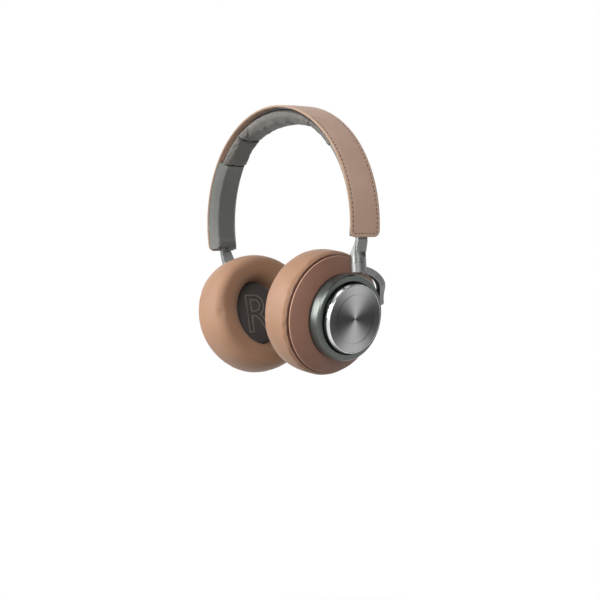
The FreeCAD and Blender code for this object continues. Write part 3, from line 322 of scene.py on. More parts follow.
def strip_inset(length, across):
    """Distance in from the strip's outline, at a length from the crown."""
    along = arch_length(ARCH_END) - abs(length)
    side = STRIP_HALF - abs(across)
    if along < STRIP_CORNER and side < STRIP_CORNER:
        return STRIP_CORNER - math.hypot(STRIP_CORNER - along, STRIP_CORNER - side)
    return min(along, side)


def strip_depth(length, across):
    """Depth of the strip's face: a slight crown, the rounded edge and the sewing groove."""
    inset = strip_inset(length, across)
    depth = 0.3 * MM * (across / STRIP_HALF) ** 2 + rounded_off(inset, STRIP_EDGE_ROUND)
    if abs(length) > arch_length(SEW_FROM):
        depth += SEW_DEPTH * math.exp(-((inset - SEW_INSET) / SEW_WIDTH) ** 2)
    return depth


END_STEPS = [0, 0.1, 0.3, 0.6, 1.0, 1.5, 1.9, 2.15, 2.4, 2.6, 2.85, 3.1, 3.5, 4.0, 4.5]
SIDE_STEPS = [0, 0.1, 0.3, 0.6, 1.2, 1.8, 2.15, 2.4, 2.6, 2.85, 3.2, 4.2]
strip_end = arch_length(ARCH_END)
lengths = [strip_end - step * MM for step in END_STEPS]
plain = lengths[-1]
lengths += [plain * (1 - share / 110) for share in range(1, 110)]
lengths = lengths + [0.0] + [-length for length in reversed(lengths)]
top_rows, bottom_rows, cut_marks = [], [], []
for length in lengths:
    deg = arch_angle(length)
    lack = strip_end - abs(length)
    half = STRIP_HALF - rounded_off(lack, STRIP_CORNER)
    sides = [half - step * MM for step in SIDE_STEPS]
    inner = sides[-1]
    ys = sides + [inner * share / 3 for share in (2, 1)] + [0.0]
    ys = ys + [-y for y in reversed(ys[:-1])]
    top_rows.append([arch_point(deg, strip_depth(length, y), y) for y in ys])
    under = [STRIP_T - rounded_off(strip_inset(length, y), STRIP_EDGE_ROUND * 0.8) for y in ys]
    bottom_rows.append([arch_point(deg, depth, y) for depth, y in zip(under, ys)])
    cut_marks += [1.0 if strip_inset(length, y) < CUT_REACH else 0.0 for y in ys]

tan_leather = with_edge(leather("Tan leather", TAN, TAN_DEEP, 0.56, 1500.0, 0.4, 0.00008), CUT_EDGE)
band = add_piece("headband_strip", "headband", "tan_leather", tan_leather, *slab(top_rows, bottom_rows))
mark_edge(band, cut_marks * 2)
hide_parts("headband_leather")


def sewn(line, pitch, length, thread_r, lift):
    """Separate stitches along a line of (point, outward direction); each dips in at its ends."""
    spots = np.array([tuple(point) for point, outward in line])
    ways = np.array([tuple(outward) for point, outward in line])
    steps = np.linalg.norm(np.diff(spots, axis=0), axis=1)
    run = np.concatenate([[0], np.cumsum(steps)])
    points, faces = [], []
    sides, sections = 6, 7
    for number in range(int(run[-1] / pitch)):
        middle = (number + 0.5) * pitch
        first = len(points)
        for part in range(sections):
            share = part / (sections - 1) * 2 - 1
            at = middle + share * length / 2
            spot = Vector([np.interp(at, run, spots[:, axis]) for axis in range(3)])
            ahead = Vector([np.interp(at + length / 9, run, spots[:, axis]) for axis in range(3)])
            behind = Vector([np.interp(at - length / 9, run, spots[:, axis]) for axis in range(3)])
            outward = Vector([np.interp(at, run, ways[:, axis]) for axis in range(3)]).normalized()
            along = (ahead - behind).normalized()
            across = along.cross(outward).normalized()
            thin = math.sqrt(max(0.0, 1 - (abs(share) ** 3))) * 0.8 + 0.2
            spot = spot + outward * (lift - (thread_r + lift) * share ** 4)
            for side in range(sides):
                turn = math.tau * side / sides
                round_way = outward * math.cos(turn) + across * math.sin(turn)
                points.append(spot + round_way * thread_r * thin)
        for part in range(sections - 1):
            for side in range(sides):
                low = first + part * sides
                after = (side + 1) % sides
                faces.append((low + side, low + after, low + sides + after, low + sides + side))
        faces.append(tuple(first + side for side in reversed(range(sides))))
        faces.append(tuple(first + (sections - 1) * sides + side for side in range(sides)))
    return points, faces


def thread(name, colour):
    """Waxed sewing thread: two plies twisted together."""
    made, tree, surface, place = new_material(name)
    twist = put(tree, "ShaderNodeTexWave", {"Vector": place, "Scale": 1500.0, "Distortion": 1.5},
                bands_direction="DIAGONAL")
    lighter = tuple(min(1.0, part * 1.7) for part in colour[:3]) + (1,)
    tree.links.new(mixed(tree, twist.outputs["Fac"], colour, lighter), surface.inputs["Base Color"])
    raised(tree, surface, twist.outputs["Fac"], 0.00006, 0.6)
    surface.inputs["Roughness"].default_value = 0.6
    surface.inputs["Sheen Weight"].default_value = 0.2
    return made


def strip_sewing(side):
    """Line of sewing down the front edge, round the corners across the end, and up the back edge."""
    half = STRIP_HALF - SEW_INSET
    corner = STRIP_CORNER - SEW_INSET
    last = strip_end - SEW_INSET
    start = arch_length(SEW_FROM) + STITCH_PITCH
    flat = [(start + (last - corner - start) * step / 80, -half) for step in range(81)]
    flat += [(last - corner + corner * math.sin(math.pi / 2 * step / 8),
              -half + corner - corner * math.cos(math.pi / 2 * step / 8)) for step in range(1, 9)]
    flat += [(length, -across) for length, across in reversed(flat)]
    line = []
    for length, across in flat:
        deg = arch_angle(length * side)
        face = arch_point(deg, strip_depth(length, across), across)
        line.append((face, arch_point(deg, -MM, across) - arch_point(deg, 0, across)))
    return line


brown_thread = thread("Brown thread", THREAD_BROWN)
for label, side in (("left", 1), ("right", -1)):
    sewing = sewn(strip_sewing(side), STITCH_PITCH, STITCH_LENGTH, THREAD_R, 0.02 * MM)
    add_piece("strip_stitches_" + label, "headband", "tan_leather", brown_thread, *sewing)


# ---- Spring and its screws ----
# A blued spring-steel strip runs between leather and lining and is screwed to the tops of the two sleeves.
# The screws are blackened steel.
def plain_metal(name, colour, rough, grain, bump, stretch=(1, 1, 1)):
    """Metal with a worked surface: grain per metre, stretched along the way it was brushed or ground."""
    made, tree, surface, place = new_material(name)
    stretched = put(tree, "ShaderNodeMapping", {"Vector": place, "Scale": stretch}).outputs[0]
    lines = put(tree, "ShaderNodeTexNoise", {"Vector": stretched, "Scale": grain, "Detail": 6.0,
                                             "Roughness": 0.7})
    smears = put(tree, "ShaderNodeTexNoise", {"Vector": place, "Scale": 60.0, "Detail": 4.0})
    wear_and_highlight = use_group(tree, EDGE_WEAR_AND_HIGHLIGHT, {"Place": place, "Reach": 0.06})
    dark = tuple(part * 0.72 for part in colour[:3]) + (1,)
    bright = tuple(min(1.0, part * 1.45) for part in colour[:3]) + (1,)
    tone = mixed(tree, spread(tree, lines.outputs["Fac"], 0.35, 0.65, 0.0, 1.0), dark, colour)
    # Edges are lighter from rubbed wear and a painted highlight, and the hollows are darker.
    tone = mixed(tree, sums(tree, "MULTIPLY", wear_and_highlight["Edge"], 0.7), tone, bright)
    tone = mixed(tree, sums(tree, "MULTIPLY", wear_and_highlight["Hollow"], 0.35), tone, dark)
    tree.links.new(tone, surface.inputs["Base Color"])
    rubbed = spread(tree, smears.outputs["Fac"], 0.3, 0.7, rough - 0.05, rough + 0.07)
    tree.links.new(rubbed, surface.inputs["Roughness"])
    raised(tree, surface, lines.outputs["Fac"], bump, 0.5)
    surface.inputs["Metallic"].default_value = 1.0
    return made


def finish_nodes(material, *names):
    """Gives CAD pieces a finish, on both sides where the name ends in an underscore."""
    for name in names:
        found = [name + "left", name + "right"] if name.endswith("_") else [name]
        for node in found:
            mesh = frame["nodes"][node].data
            mesh.materials.clear()
            mesh.materials.append(material)


finish_nodes(plain_metal("Spring steel", (0.2, 0.21, 0.24, 1), 0.35, 2600.0, 0.00001, (0.05, 1, 0.05)),
             "headband_spring")
finish_nodes(plain_metal("Black screw", (0.05, 0.05, 0.055, 1), 0.42, 3000.0, 0.00001),
             "sleeve_screws", "baffle_screws_")


# ---- Top pad ----
# A foam pad in thin grey leather fills the top of the arch. Its cover is sewn shut at both ends, where
# the leather puckers, and is glued to the strip above.
PAD_END_DEG = 29.8
PAD_BASE_DEPTH = 2.9 * MM
PAD_BASE_HALF = 12.6 * MM
PAD_FACE_HALF = 8.5 * MM
PAD_CROWN_T = 14.0 * MM
PAD_SEAM_T = 9.6 * MM
GREY = (0.125, 0.118, 0.108, 1)
GREY_DEEP = (0.08, 0.075, 0.068, 1)
PAD_RING = 44


def loft(rings, closed=False):
    """Skin through rings of equal length; an open run is closed by a face at each end."""
    count, total = len(rings[0]), len(rings)
    points = [point for ring in rings for point in ring]
    faces = []
    for i in range(total if closed else total - 1):
        low, high = i * count, (i + 1) % total * count
        for j in range(count):
            k = (j + 1) % count
            faces.append((low + j, low + k, high + k, high + j))
    if not closed:
        faces.append(tuple(reversed(range(count))))
        faces.append(tuple(range((total - 1) * count, total * count)))
    return points, faces


def pad_section(deg, base_depth, face_depth, base_half, face_half, fold):
    """Ring round a pad: flat against the leather, full at the sides and crowned towards the head."""
    ring = []
    for step in range(PAD_RING):
        turn = math.tau * step / PAD_RING
        wide, deep = math.sin(turn), (1 - math.cos(turn)) / 2
        square = abs(wide) ** 0.62 * math.copysign(1, wide)
        half = base_half + (face_half - base_half) * deep
        level = deep ** 0.8
        rumple = fold * noise.noise(Vector((deg * 0.35, wide * 5, 3.0))) * deep
        ring.append(arch_point(deg, base_depth + (face_depth - base_depth) * level + rumple, half * square))
    return ring


def inflate(piece, held, pressure, spare, cap):
    """Cloth simulation of a sewn cover filled with foam: held points are its seams, spare is extra leather
    as a share of its size, and no point moves further than cap."""
    bench = 10.0
    start = np.array([tuple(vertex.co) for vertex in piece.data.vertices])
    piece.data.transform(Matrix.Scale(bench, 4))
    seams = piece.vertex_groups.new(name="seams")
    seams.add([int(index) for index in held], 1.0, "REPLACE")
    cover = piece.modifiers.new("Cover", "CLOTH")
    cover.settings.use_pressure = True
    cover.settings.uniform_pressure_force = pressure
    cover.settings.vertex_group_mass = "seams"
    cover.settings.shrink_min = -spare
    cover.settings.effector_weights.gravity = 0.0
    cover.settings.quality = 6
    cover.point_cache.frame_start = 1
    cover.point_cache.frame_end = 20
    for number in range(1, 21):
        bpy.context.scene.frame_set(number)
    blown = piece.evaluated_get(bpy.context.evaluated_depsgraph_get())
    end = np.array([tuple(vertex.co) for vertex in blown.data.vertices]) / bench
    piece.modifiers.remove(cover)
    piece.vertex_groups.remove(seams)
    move = end - start
    far = np.linalg.norm(move, axis=1, keepdims=True)
    move *= np.minimum(1.0, cap / np.maximum(far, 1e-9))
    piece.data.vertices.foreach_set("co", (start + move).ravel())
    piece.data.update()
    bpy.context.scene.frame_set(1)


def rounded_end(share):
    """Fullness of a pad from its seam, 0, to its body, 1."""
    return math.sqrt(max(0.0, 1 - (1 - min(share, 1.0)) ** 2))


rings = []
pad_steps = 72
for step in range(pad_steps + 1):
    deg = PAD_END_DEG * math.sin(math.pi / 2 * (step / pad_steps * 2 - 1))
    near = (PAD_END_DEG - abs(deg)) / 2.6
    full = 0.55 + 0.45 * rounded_end(near)
    thick = PAD_SEAM_T + (PAD_CROWN_T - PAD_SEAM_T) * math.cos(math.radians(deg) * 90 / PAD_END_DEG)
    face = PAD_BASE_DEPTH + (thick - PAD_BASE_DEPTH) * full
    rings.append(pad_section(deg, PAD_BASE_DEPTH, face - 0.5 * MM, PAD_BASE_HALF * (0.9 + 0.1 * full),
                             PAD_FACE_HALF, 0.5 * MM))
grey_leather = leather("Grey lining", GREY, GREY_DEEP, 0.5, 1700.0, 0.6, 0.00009)
pad = add_piece("top_pad_cover", "headband", "grey_lining", grey_leather, *loft(rings))
glued = [row * PAD_RING + step for row in range(pad_steps + 1) for step in range(PAD_RING)
         if row in (0, pad_steps) or min(step, PAD_RING - step) < 7]
inflate(pad, glued, 2.0, 0.05, 1.0 * MM)
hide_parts("headband_pad")


# ---- Side pads ----
# Short foam pads of the same leather, between the top pad and each sleeve, puckered at both seams.
# Their covers are glued to the strip as the top pad's is.
SIDE_PAD_START = 30.25
SIDE_PAD_END = 49.75
SIDE_PAD_T = 9.2 * MM
side_steps = 40
for label, side in (("left", 1), ("right", -1)):
    rings = []
    for step in range(side_steps + 1):
        share = (1 - math.cos(math.pi * step / side_steps)) / 2
        deg = SIDE_PAD_START + (SIDE_PAD_END - SIDE_PAD_START) * share
        near = min(share, 1 - share) * (SIDE_PAD_END - SIDE_PAD_START) / 2.4
        full = 0.6 + 0.4 * rounded_end(near)
        face = PAD_BASE_DEPTH + (SIDE_PAD_T - PAD_BASE_DEPTH) * full
        rings.append(pad_section(deg * side, PAD_BASE_DEPTH, face - 0.4 * MM,
                                 PAD_BASE_HALF * (0.93 + 0.07 * full), PAD_FACE_HALF * 0.94, 0.35 * MM))
    pad = add_piece("side_pad_cover_" + label, "headband", "grey_lining", grey_leather, *loft(rings))
    glued = [row * PAD_RING + step for row in range(side_steps + 1) for step in range(PAD_RING)
             if row in (0, side_steps) or min(step, PAD_RING - step) < 7]
    inflate(pad, glued, 2.0, 0.05, 0.8 * MM)
    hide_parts("side_pad_" + label)


# ---- Slider sleeves, end caps and detent leaves ----
# Each sleeve is a moulding wrapped in thin grey leather that the arm slides in. A dark plastic cap
# closes its end, and a small steel leaf inside clicks along the arm's notches.
SLEEVE_GREY = (0.145, 0.15, 0.14, 1)
SLEEVE_DEEP = (0.11, 0.112, 0.105, 1)


def plastic(name, colour, rough):
    """Moulded plastic with a fine spark-eroded texture, and edges lighter from wear and a painted highlight.
    """
    made, tree, surface, place = new_material(name)
    texture = put(tree, "ShaderNodeTexNoise", {"Vector": place, "Scale": 4200.0, "Detail": 3.0})
    smears = put(tree, "ShaderNodeTexNoise", {"Vector": place, "Scale": 90.0, "Detail": 4.0})
    wear_and_highlight = use_group(tree, EDGE_WEAR_AND_HIGHLIGHT, {"Place": place, "Reach": 0.06})
    light = tuple(min(1.0, part * 1.6) for part in colour[:3]) + (1,)
    tone = mixed(tree, sums(tree, "MULTIPLY", wear_and_highlight["Edge"], 0.5), colour, light)
    tree.links.new(tone, surface.inputs["Base Color"])
    rubbed = spread(tree, smears.outputs["Fac"], 0.3, 0.7, rough - 0.06, rough + 0.08)
    tree.links.new(rubbed, surface.inputs["Roughness"])
    raised(tree, surface, texture.outputs["Fac"], 0.00003, 0.5)
    return made


finish_nodes(leather("Sleeve leather", SLEEVE_GREY, SLEEVE_DEEP, 0.46, 1900.0, 0.35, 0.00006),
             "slider_sleeve_")
black_plastic = plastic("Black plastic", (0.03, 0.03, 0.031, 1), 0.5)
finish_nodes(plastic("Cap plastic", (0.105, 0.1, 0.095, 1), 0.55), "sleeve_cap_")
pin_steel = plain_metal("Pin steel", (0.5, 0.5, 0.5, 1), 0.25, 2600.0, 0.00001)
finish_nodes(pin_steel, "detent_leaf_")


# ---- Slider arms ----
# A drawn aluminium bar that widens into the upper half of the swivel barrel, with a milled thumb scoop
# above it. The bar is satin brushed along its length and clear anodised.
finish_nodes(plain_metal("Arm aluminium", (0.18, 0.185, 0.176, 1), 0.4, 3600.0, 0.00002, (1, 1, 0.08)),
             "slider_arm_")


# ---- Swivel bushes, pins and yokes ----
# A steel pin in a brass bush joins arm and yoke. The yoke is one blasted aluminium casting: the lower
# half of the barrel, and an arm that curves behind the housing to a pivot near its middle.
finish_nodes(plain_metal("Bush brass", (0.55, 0.4, 0.16, 1), 0.3, 2600.0, 0.00001),
             "swivel_bush_", "pivot_bush_")
finish_nodes(pin_steel, "swivel_pin_", "tilt_pin_")
finish_nodes(plain_metal("Yoke aluminium", (0.195, 0.197, 0.195, 1), 0.46, 2300.0, 0.00006), "yoke_")


# ---- Outer housings ----
# Each cup ends in a turned aluminium housing, anodised grey-green over a fine lathe finish.
# Its front lip holds the bezel down by its flange.
HINGE = next(joint for joint in frame["joints"] if joint["name"] == "cup_tilt_left")
CUP_LEAN = math.radians(10)
CUP_ACROSS = Vector(HINGE["axis"]).normalized()
CUP_OUT = CUP_ACROSS.cross(Vector((0, 0, 1)))
CUP_AXIS = CUP_OUT * math.cos(CUP_LEAN) - Vector((0, 0, math.sin(CUP_LEAN)))
CUP_UP = CUP_OUT * math.sin(CUP_LEAN) + Vector((0, 0, math.cos(CUP_LEAN)))
HOUSING_GREEN = (0.128, 0.14, 0.129, 1)
PIVOT_OUT = 10.35 * MM
PIVOT_UP = 10.0 * MM
CUP_MIDDLE = Vector(HINGE["pos_m"]) - CUP_AXIS * PIVOT_OUT - CUP_UP * PIVOT_UP


def in_cup(side, along, across, up):
    """Point of a cup: along its axis to the outside, across to the back, and up. Side is 1 left, -1 right."""
    place = CUP_MIDDLE + CUP_AXIS * along + CUP_ACROSS * across + CUP_UP * up
    return Vector((side * place.x, place.y, place.z))


def turned_lines():
    """Node group for lathe-turned metal: fine rings about the cup axis, and a sweep in two lobes that places
    a painted reflection.
    """
    tree, given, out = new_group(
        "Turned lines",
        [("Place", "NodeSocketVector", None), ("Rings per metre", "NodeSocketFloat", 9000.0)],
        [("Height", "NodeSocketFloat"), ("Tone", "NodeSocketFloat"), ("Streaks", "NodeSocketFloat"),
         ("Sweep", "NodeSocketFloat")])
    parts = put(tree, "ShaderNodeSeparateXYZ", {0: given["Place"]}).outputs
    square = sums(tree, "ADD", sums(tree, "MULTIPLY", parts[1], parts[1]),
                  sums(tree, "MULTIPLY", parts[2], parts[2]))
    radius = sums(tree, "SQRT", square, 0.0)
    along = sums(tree, "ADD", sums(tree, "MULTIPLY", radius, given["Rings per metre"]),
                 sums(tree, "MULTIPLY", parts[0], given["Rings per metre"]))
    rings = put(tree, "ShaderNodeTexNoise", {"W": along, "Scale": 1.0, "Detail": 2.0}, noise_dimensions="1D")
    turn = sums(tree, "ARCTAN2", parts[1], parts[2])
    wave = sums(tree, "COSINE", sums(tree, "MULTIPLY", turn, 2.0), 0.0)
    around = sums(tree, "MULTIPLY", turn, 6.0)
    broken = put(tree, "ShaderNodeTexNoise", {"W": around, "Scale": 1.0, "Detail": 5.0},
                 noise_dimensions="1D")
    tree.links.new(rings.outputs["Fac"], out["Height"])
    tree.links.new(spread(tree, rings.outputs["Fac"], 0.35, 0.65, 0.0, 1.0), out["Tone"])
    tree.links.new(spread(tree, broken.outputs["Fac"], 0.35, 0.65, 0.0, 1.0), out["Streaks"])
    tree.links.new(spread(tree, wave, -1.0, 1.0, 0.0, 1.0), out["Sweep"])
    return tree


TURNED_LINES = turned_lines()


def turned_metal(name, side, colour, rough, rings, bump, stretch, shade, worn_and_lit):
    """Lathe-turned metal of a cup, with its rings about the cup axis. Shade is how far its two dark wings,
    a painted reflection, go down, and worn_and_lit is how much its edges are lightened by rubbed wear
    and a painted highlight."""
    made, tree, surface, place = new_material(name)
    columns = [Vector((side * way.x, way.y, way.z)) for way in (CUP_AXIS, CUP_ACROSS * side, CUP_UP)]
    cup = Matrix(columns).transposed().to_4x4()
    cup.translation = in_cup(side, 0, 0, 0)
    back = cup.inverted()
    carried = put(tree, "ShaderNodeMapping", {"Vector": place, "Location": back.translation,
                                              "Rotation": back.to_euler()}).outputs[0]
    lines = use_group(tree, TURNED_LINES, {"Place": carried, "Rings per metre": rings})
    wear_and_highlight = use_group(tree, EDGE_WEAR_AND_HIGHLIGHT, {"Place": place, "Reach": 0.08})
    dark = tuple(part * 0.78 for part in colour[:3]) + (1,)
    bright = tuple(min(1.0, part * 1.6) for part in colour[:3]) + (1,)
    tone = mixed(tree, lines["Tone"], dark, colour)
    tone = mixed(tree, sums(tree, "MULTIPLY", lines["Streaks"], 0.35), tone, dark)
    # Two dark wings about the axis: a painted reflection fixed to the metal.
    wings = spread(tree, sums(tree, "POWER", lines["Sweep"], 1.4), 0.0, 1.0, shade, 0.0)
    tone = mixed(tree, wings, tone, (0.02, 0.02, 0.021, 1))
    # Edges lighter: rubbed wear and a painted highlight.
    tone = mixed(tree, sums(tree, "MULTIPLY", wear_and_highlight["Edge"], worn_and_lit), tone, bright)
    tree.links.new(tone, surface.inputs["Base Color"])
    tree.links.new(spread(tree, lines["Tone"], 0.0, 1.0, rough, rough + 0.08), surface.inputs["Roughness"])
    raised(tree, surface, lines["Height"], bump, 0.4)
    surface.inputs["Metallic"].default_value = 1.0
    surface.inputs["Anisotropic"].default_value = stretch
    if stretch:
        tangent = put(tree, "ShaderNodeTangent", {}, direction_type="RADIAL", axis="X").outputs[0]
        tree.links.new(tangent, surface.inputs["Tangent"])
    return made


for label, side in (("left", 1), ("right", -1)):
    housing = turned_metal("Housing aluminium " + label, side, HOUSING_GREEN, 0.3, 5000.0, 0.00002,
                           stretch=0.0, shade=0.0, worn_and_lit=0.15)
    finish_nodes(housing, "cup_housing_" + label)


# ---- Polished bezels and touch discs ----
# A turned and polished ring holds each disc. Its wall is painted dark as painted shade, so that only the
# crest shows bright.
# The disc is spun aluminium with one fine ring turned into it; two dark wings across it are a painted
# reflection.
BEZEL_STEPS = 288
BEZEL_FOOT = 13.95 * MM
BEZEL_FOOT_R = 25.9 * MM
BEZEL_FLANGE = (13.25 * MM, 28.3 * MM)
BEZEL_CREST = 19.75 * MM
BEZEL_SHINE = 2.2 * MM
BEZEL_R = 24.4 * MM
BEZEL_IN_R = 23.9 * MM
BEZEL_LEDGE = (18.45 * MM, 22.4 * MM)
BEZEL_ROUND = 0.6 * MM
BEZEL_CREASE = 35
BEZEL_CHROME = (0.82, 0.82, 0.83, 1)
BEZEL_WALL_SHADE = (0.05, 0.052, 0.052, 1)
DISC_SILVER = (0.48, 0.48, 0.49, 1)


def revolved(side, outline, steps):
    """Closed skin turned about a cup's axis from a closed outline of (along, radius)."""
    rings = []
    for step in range(steps):
        turn = math.tau * step / steps
        rings.append([in_cup(side, along, radius * math.sin(turn), radius * math.cos(turn))
                      for along, radius in outline])
    return loft(rings, closed=True)


bezel_outline = [(BEZEL_FLANGE[0], BEZEL_LEDGE[1]), BEZEL_FLANGE, (BEZEL_FOOT, BEZEL_FLANGE[1]),
                 (BEZEL_FOOT, BEZEL_FOOT_R)]
# The wall below the bright crest is marked for painted shade.
wall_shade_marks = [1.0] * 4
wall_high = BEZEL_CREST - BEZEL_ROUND - BEZEL_FOOT
for step in range(1, 9):
    share = step / 8
    along = BEZEL_FOOT + wall_high * share
    bezel_outline.append((along, BEZEL_FOOT_R + (BEZEL_R - BEZEL_FOOT_R) * share))
    wall_shade_marks.append(0.0 if along > BEZEL_CREST - BEZEL_SHINE else 1.0)
for step in range(1, 6):
    turn = math.pi / 2 * step / 5
    bezel_outline.append((BEZEL_CREST - BEZEL_ROUND * (1 - math.sin(turn)),
                          BEZEL_IN_R + (BEZEL_R - BEZEL_IN_R) * math.cos(turn)))
bezel_outline += [(BEZEL_LEDGE[0], BEZEL_IN_R), BEZEL_LEDGE]
wall_shade_marks += [0.0] * 7
bezel_chrome = with_edge(plain_metal("Polished bezel", BEZEL_CHROME, 0.17, 3000.0, 0.000003), BEZEL_WALL_SHADE)
for label, side in (("left", 1), ("right", -1)):
    bezel = add_piece("bezel_" + label, "cup_" + label, "polished_bezel", bezel_chrome,
                      *revolved(side, bezel_outline, BEZEL_STEPS))
    bezel.data.set_sharp_from_angle(angle=math.radians(BEZEL_CREASE))
    mark_edge(bezel, wall_shade_marks * BEZEL_STEPS)
    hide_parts("disc_bezel_" + label)
for label, side in (("left", 1), ("right", -1)):
    # Each disc takes two dark wings of painted reflection at its sides.
    disc = turned_metal("Disc aluminium " + label, side, DISC_SILVER, 0.3, 14000.0, 0.00002,
                        stretch=0.8, shade=0.93, worn_and_lit=0.08)
    finish_nodes(disc, "touch_disc_" + label)


# ---- Inside the housings ----
# The left housing holds a flat round cell. The right one holds a circuit board, with the charging port,
# the audio socket and the power switch at its rim.
def board_laminate():
    """Green solder mask over copper tracks."""
    made, tree, surface, place = new_material("Board laminate")
    tracks = put(tree, "ShaderNodeTexBrick", {"Vector": place, "Scale": 300.0, "Mortar Size": 0.08,
                                              "Color1": (0.01, 0.09, 0.04, 1),
                                              "Color2": (0.012, 0.11, 0.05, 1),
                                              "Mortar": (0.05, 0.2, 0.09, 1)})
    tree.links.new(tracks.outputs["Color"], surface.inputs["Base Color"])
    raised(tree, surface, tracks.outputs["Fac"], 0.00004, 0.5)
    surface.inputs["Roughness"].default_value = 0.3
    return made


finish_nodes(board_laminate(), "circuit_board")
finish_nodes(plastic("Cell wrap", (0.05, 0.1, 0.22, 1), 0.35), "battery")
finish_nodes(plain_metal("Socket metal", (0.45, 0.46, 0.46, 1), 0.28, 2600.0, 0.00001),
             "jack_socket", "charge_port")
finish_nodes(plastic("Switch plastic", (0.04, 0.042, 0.042, 1), 0.45), "power_switch")


# ---- Shells and their leather ----
# A black moulding carries the baffle. Its cone is covered with one piece of tan leather, stretched over
# a former and rolled round the rim, so that the rim shows as a soft lip. The lip is paler: the stretched
# leather there, and a painted highlight along it.
SKIN_T = 0.9 * MM
CONE_SMALL = (4.9 * MM, 30.5 * MM)
CONE_LARGE = (-1.7 * MM, 42.1 * MM)
CONE_BULGE = 0.35 * MM
RIM_END = -2.6 * MM
CONE_STEPS = 160
SHELL_TAN = (0.235, 0.118, 0.079, 1)
SHELL_TAN_DEEP = (0.18, 0.086, 0.057, 1)
SHELL_RIM_HIGHLIGHT = (0.36, 0.2, 0.13, 1)


def cone_line(sink):
    """Side of the cone from its small end to its rim, sunk below the skin."""
    line = []
    for step in range(17):
        share = step / 16
        along = CONE_SMALL[0] + (CONE_LARGE[0] - CONE_SMALL[0]) * share
        radius = CONE_SMALL[1] + (CONE_LARGE[1] - CONE_SMALL[1]) * share
        lift = CONE_BULGE * math.sin(math.pi * share) - sink
        line.append((along + lift * 0.87, radius + lift * 0.49))
    return line


outline = [(CONE_SMALL[0] - 0.25 * MM, CONE_SMALL[1] - 0.75 * MM),
           (CONE_SMALL[0] - 0.03 * MM, CONE_SMALL[1] - 0.4 * MM)]
outline += cone_line(0)[:-1]
outline += [(CONE_LARGE[0] + 0.12 * MM, CONE_LARGE[1] - 0.02 * MM),
            (CONE_LARGE[0] - 0.15 * MM, CONE_LARGE[1]), (CONE_LARGE[0] - 0.55 * MM, CONE_LARGE[1]),
            (CONE_LARGE[0] - 0.8 * MM, CONE_LARGE[1] - 0.15 * MM),
            (RIM_END, CONE_LARGE[1] - 0.4 * MM), (RIM_END, CONE_LARGE[1] - SKIN_T)]
outline += [(CONE_LARGE[0] - 0.2 * MM, CONE_LARGE[1] - SKIN_T)]
outline += [point for point in reversed(cone_line(SKIN_T)) if point[1] > CONE_SMALL[1] - 0.3 * MM][1:]
# Points at the rim take a paler colour: stretched leather and a painted highlight.
rim_highlight_marks = [1.0 if radius > CONE_LARGE[1] - 0.1 * MM else 0.0 for along, radius in outline]
cone_leather = with_edge(leather("Cone leather", SHELL_TAN, SHELL_TAN_DEEP, 0.5, 1500.0, 0.35, 0.00007),
                         SHELL_RIM_HIGHLIGHT)
for label, side in (("left", 1), ("right", -1)):
    skin = add_piece("cone_skin_" + label, "cup_" + label, "shell_skin", cone_leather,
                     *revolved(side, outline, CONE_STEPS))
    mark_edge(skin, rim_highlight_marks * CONE_STEPS)
    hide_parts("shell_leather_" + label)
finish_nodes(black_plastic, "cup_shell_")


# ---- Baffles and drivers ----
# The baffle closes each shell. A driver of 40 mm is screwed to it: a moulded basket, a magnet and a thin
# pressed film, all behind the cloth.
finish_nodes(black_plastic, "baffle_", "driver_frame_", "cushion_ring_")
finish_nodes(plain_metal("Magnet metal", (0.36, 0.36, 0.37, 1), 0.3, 2600.0, 0.00001), "driver_magnet_")
finish_nodes(plastic("Diaphragm film", (0.2, 0.19, 0.16, 1), 0.25), "diaphragm_")


# ---- Ear cushions ----
# A foam ring in soft tan leather, round outside and with an oval opening. The cover is sewn shut in the
# opening and its skirt is stretched over the mounting ring behind. Beside the cone's lip it takes a painted
# shadow.
CUSHION_MID = -16.0 * MM
CUSHION_HALF_T = 16.1 * MM
CUSHION_SIDE_R = 44.0 * MM
CUSHION_SIDE_ROUND = 8.0 * MM
CUSHION_SHOULDER = -9.5 * MM
CUSHION_STEP_IN = 3.8 * MM
CUSHION_EDGE = -3.4 * MM
CUSHION_BACK = -5.6 * MM
SKIRT_R = 39.7 * MM
CROWN_R = 35.0 * MM
OPENING_HIGH = 24.4 * MM
OPENING_WIDE = 19.5 * MM
THROAT_SEAM = -17.6 * MM
SEAM_DIP = 0.5 * MM
TUCK_SHADE_REACH = 0.45 * MM
CUSHION_UNEVEN = 0.25 * MM
CUSHION_TAN = (0.315, 0.175, 0.104, 1)
CUSHION_TAN_DEEP = (0.25, 0.132, 0.074, 1)
CUSHION_TUCK_SHADE = (0.075, 0.026, 0.015, 1)


def oval_radius(turn, high, wide):
    """Distance from the middle of an oval to its edge, at an angle from the top."""
    return high * wide / math.hypot(wide * math.cos(turn), high * math.sin(turn))


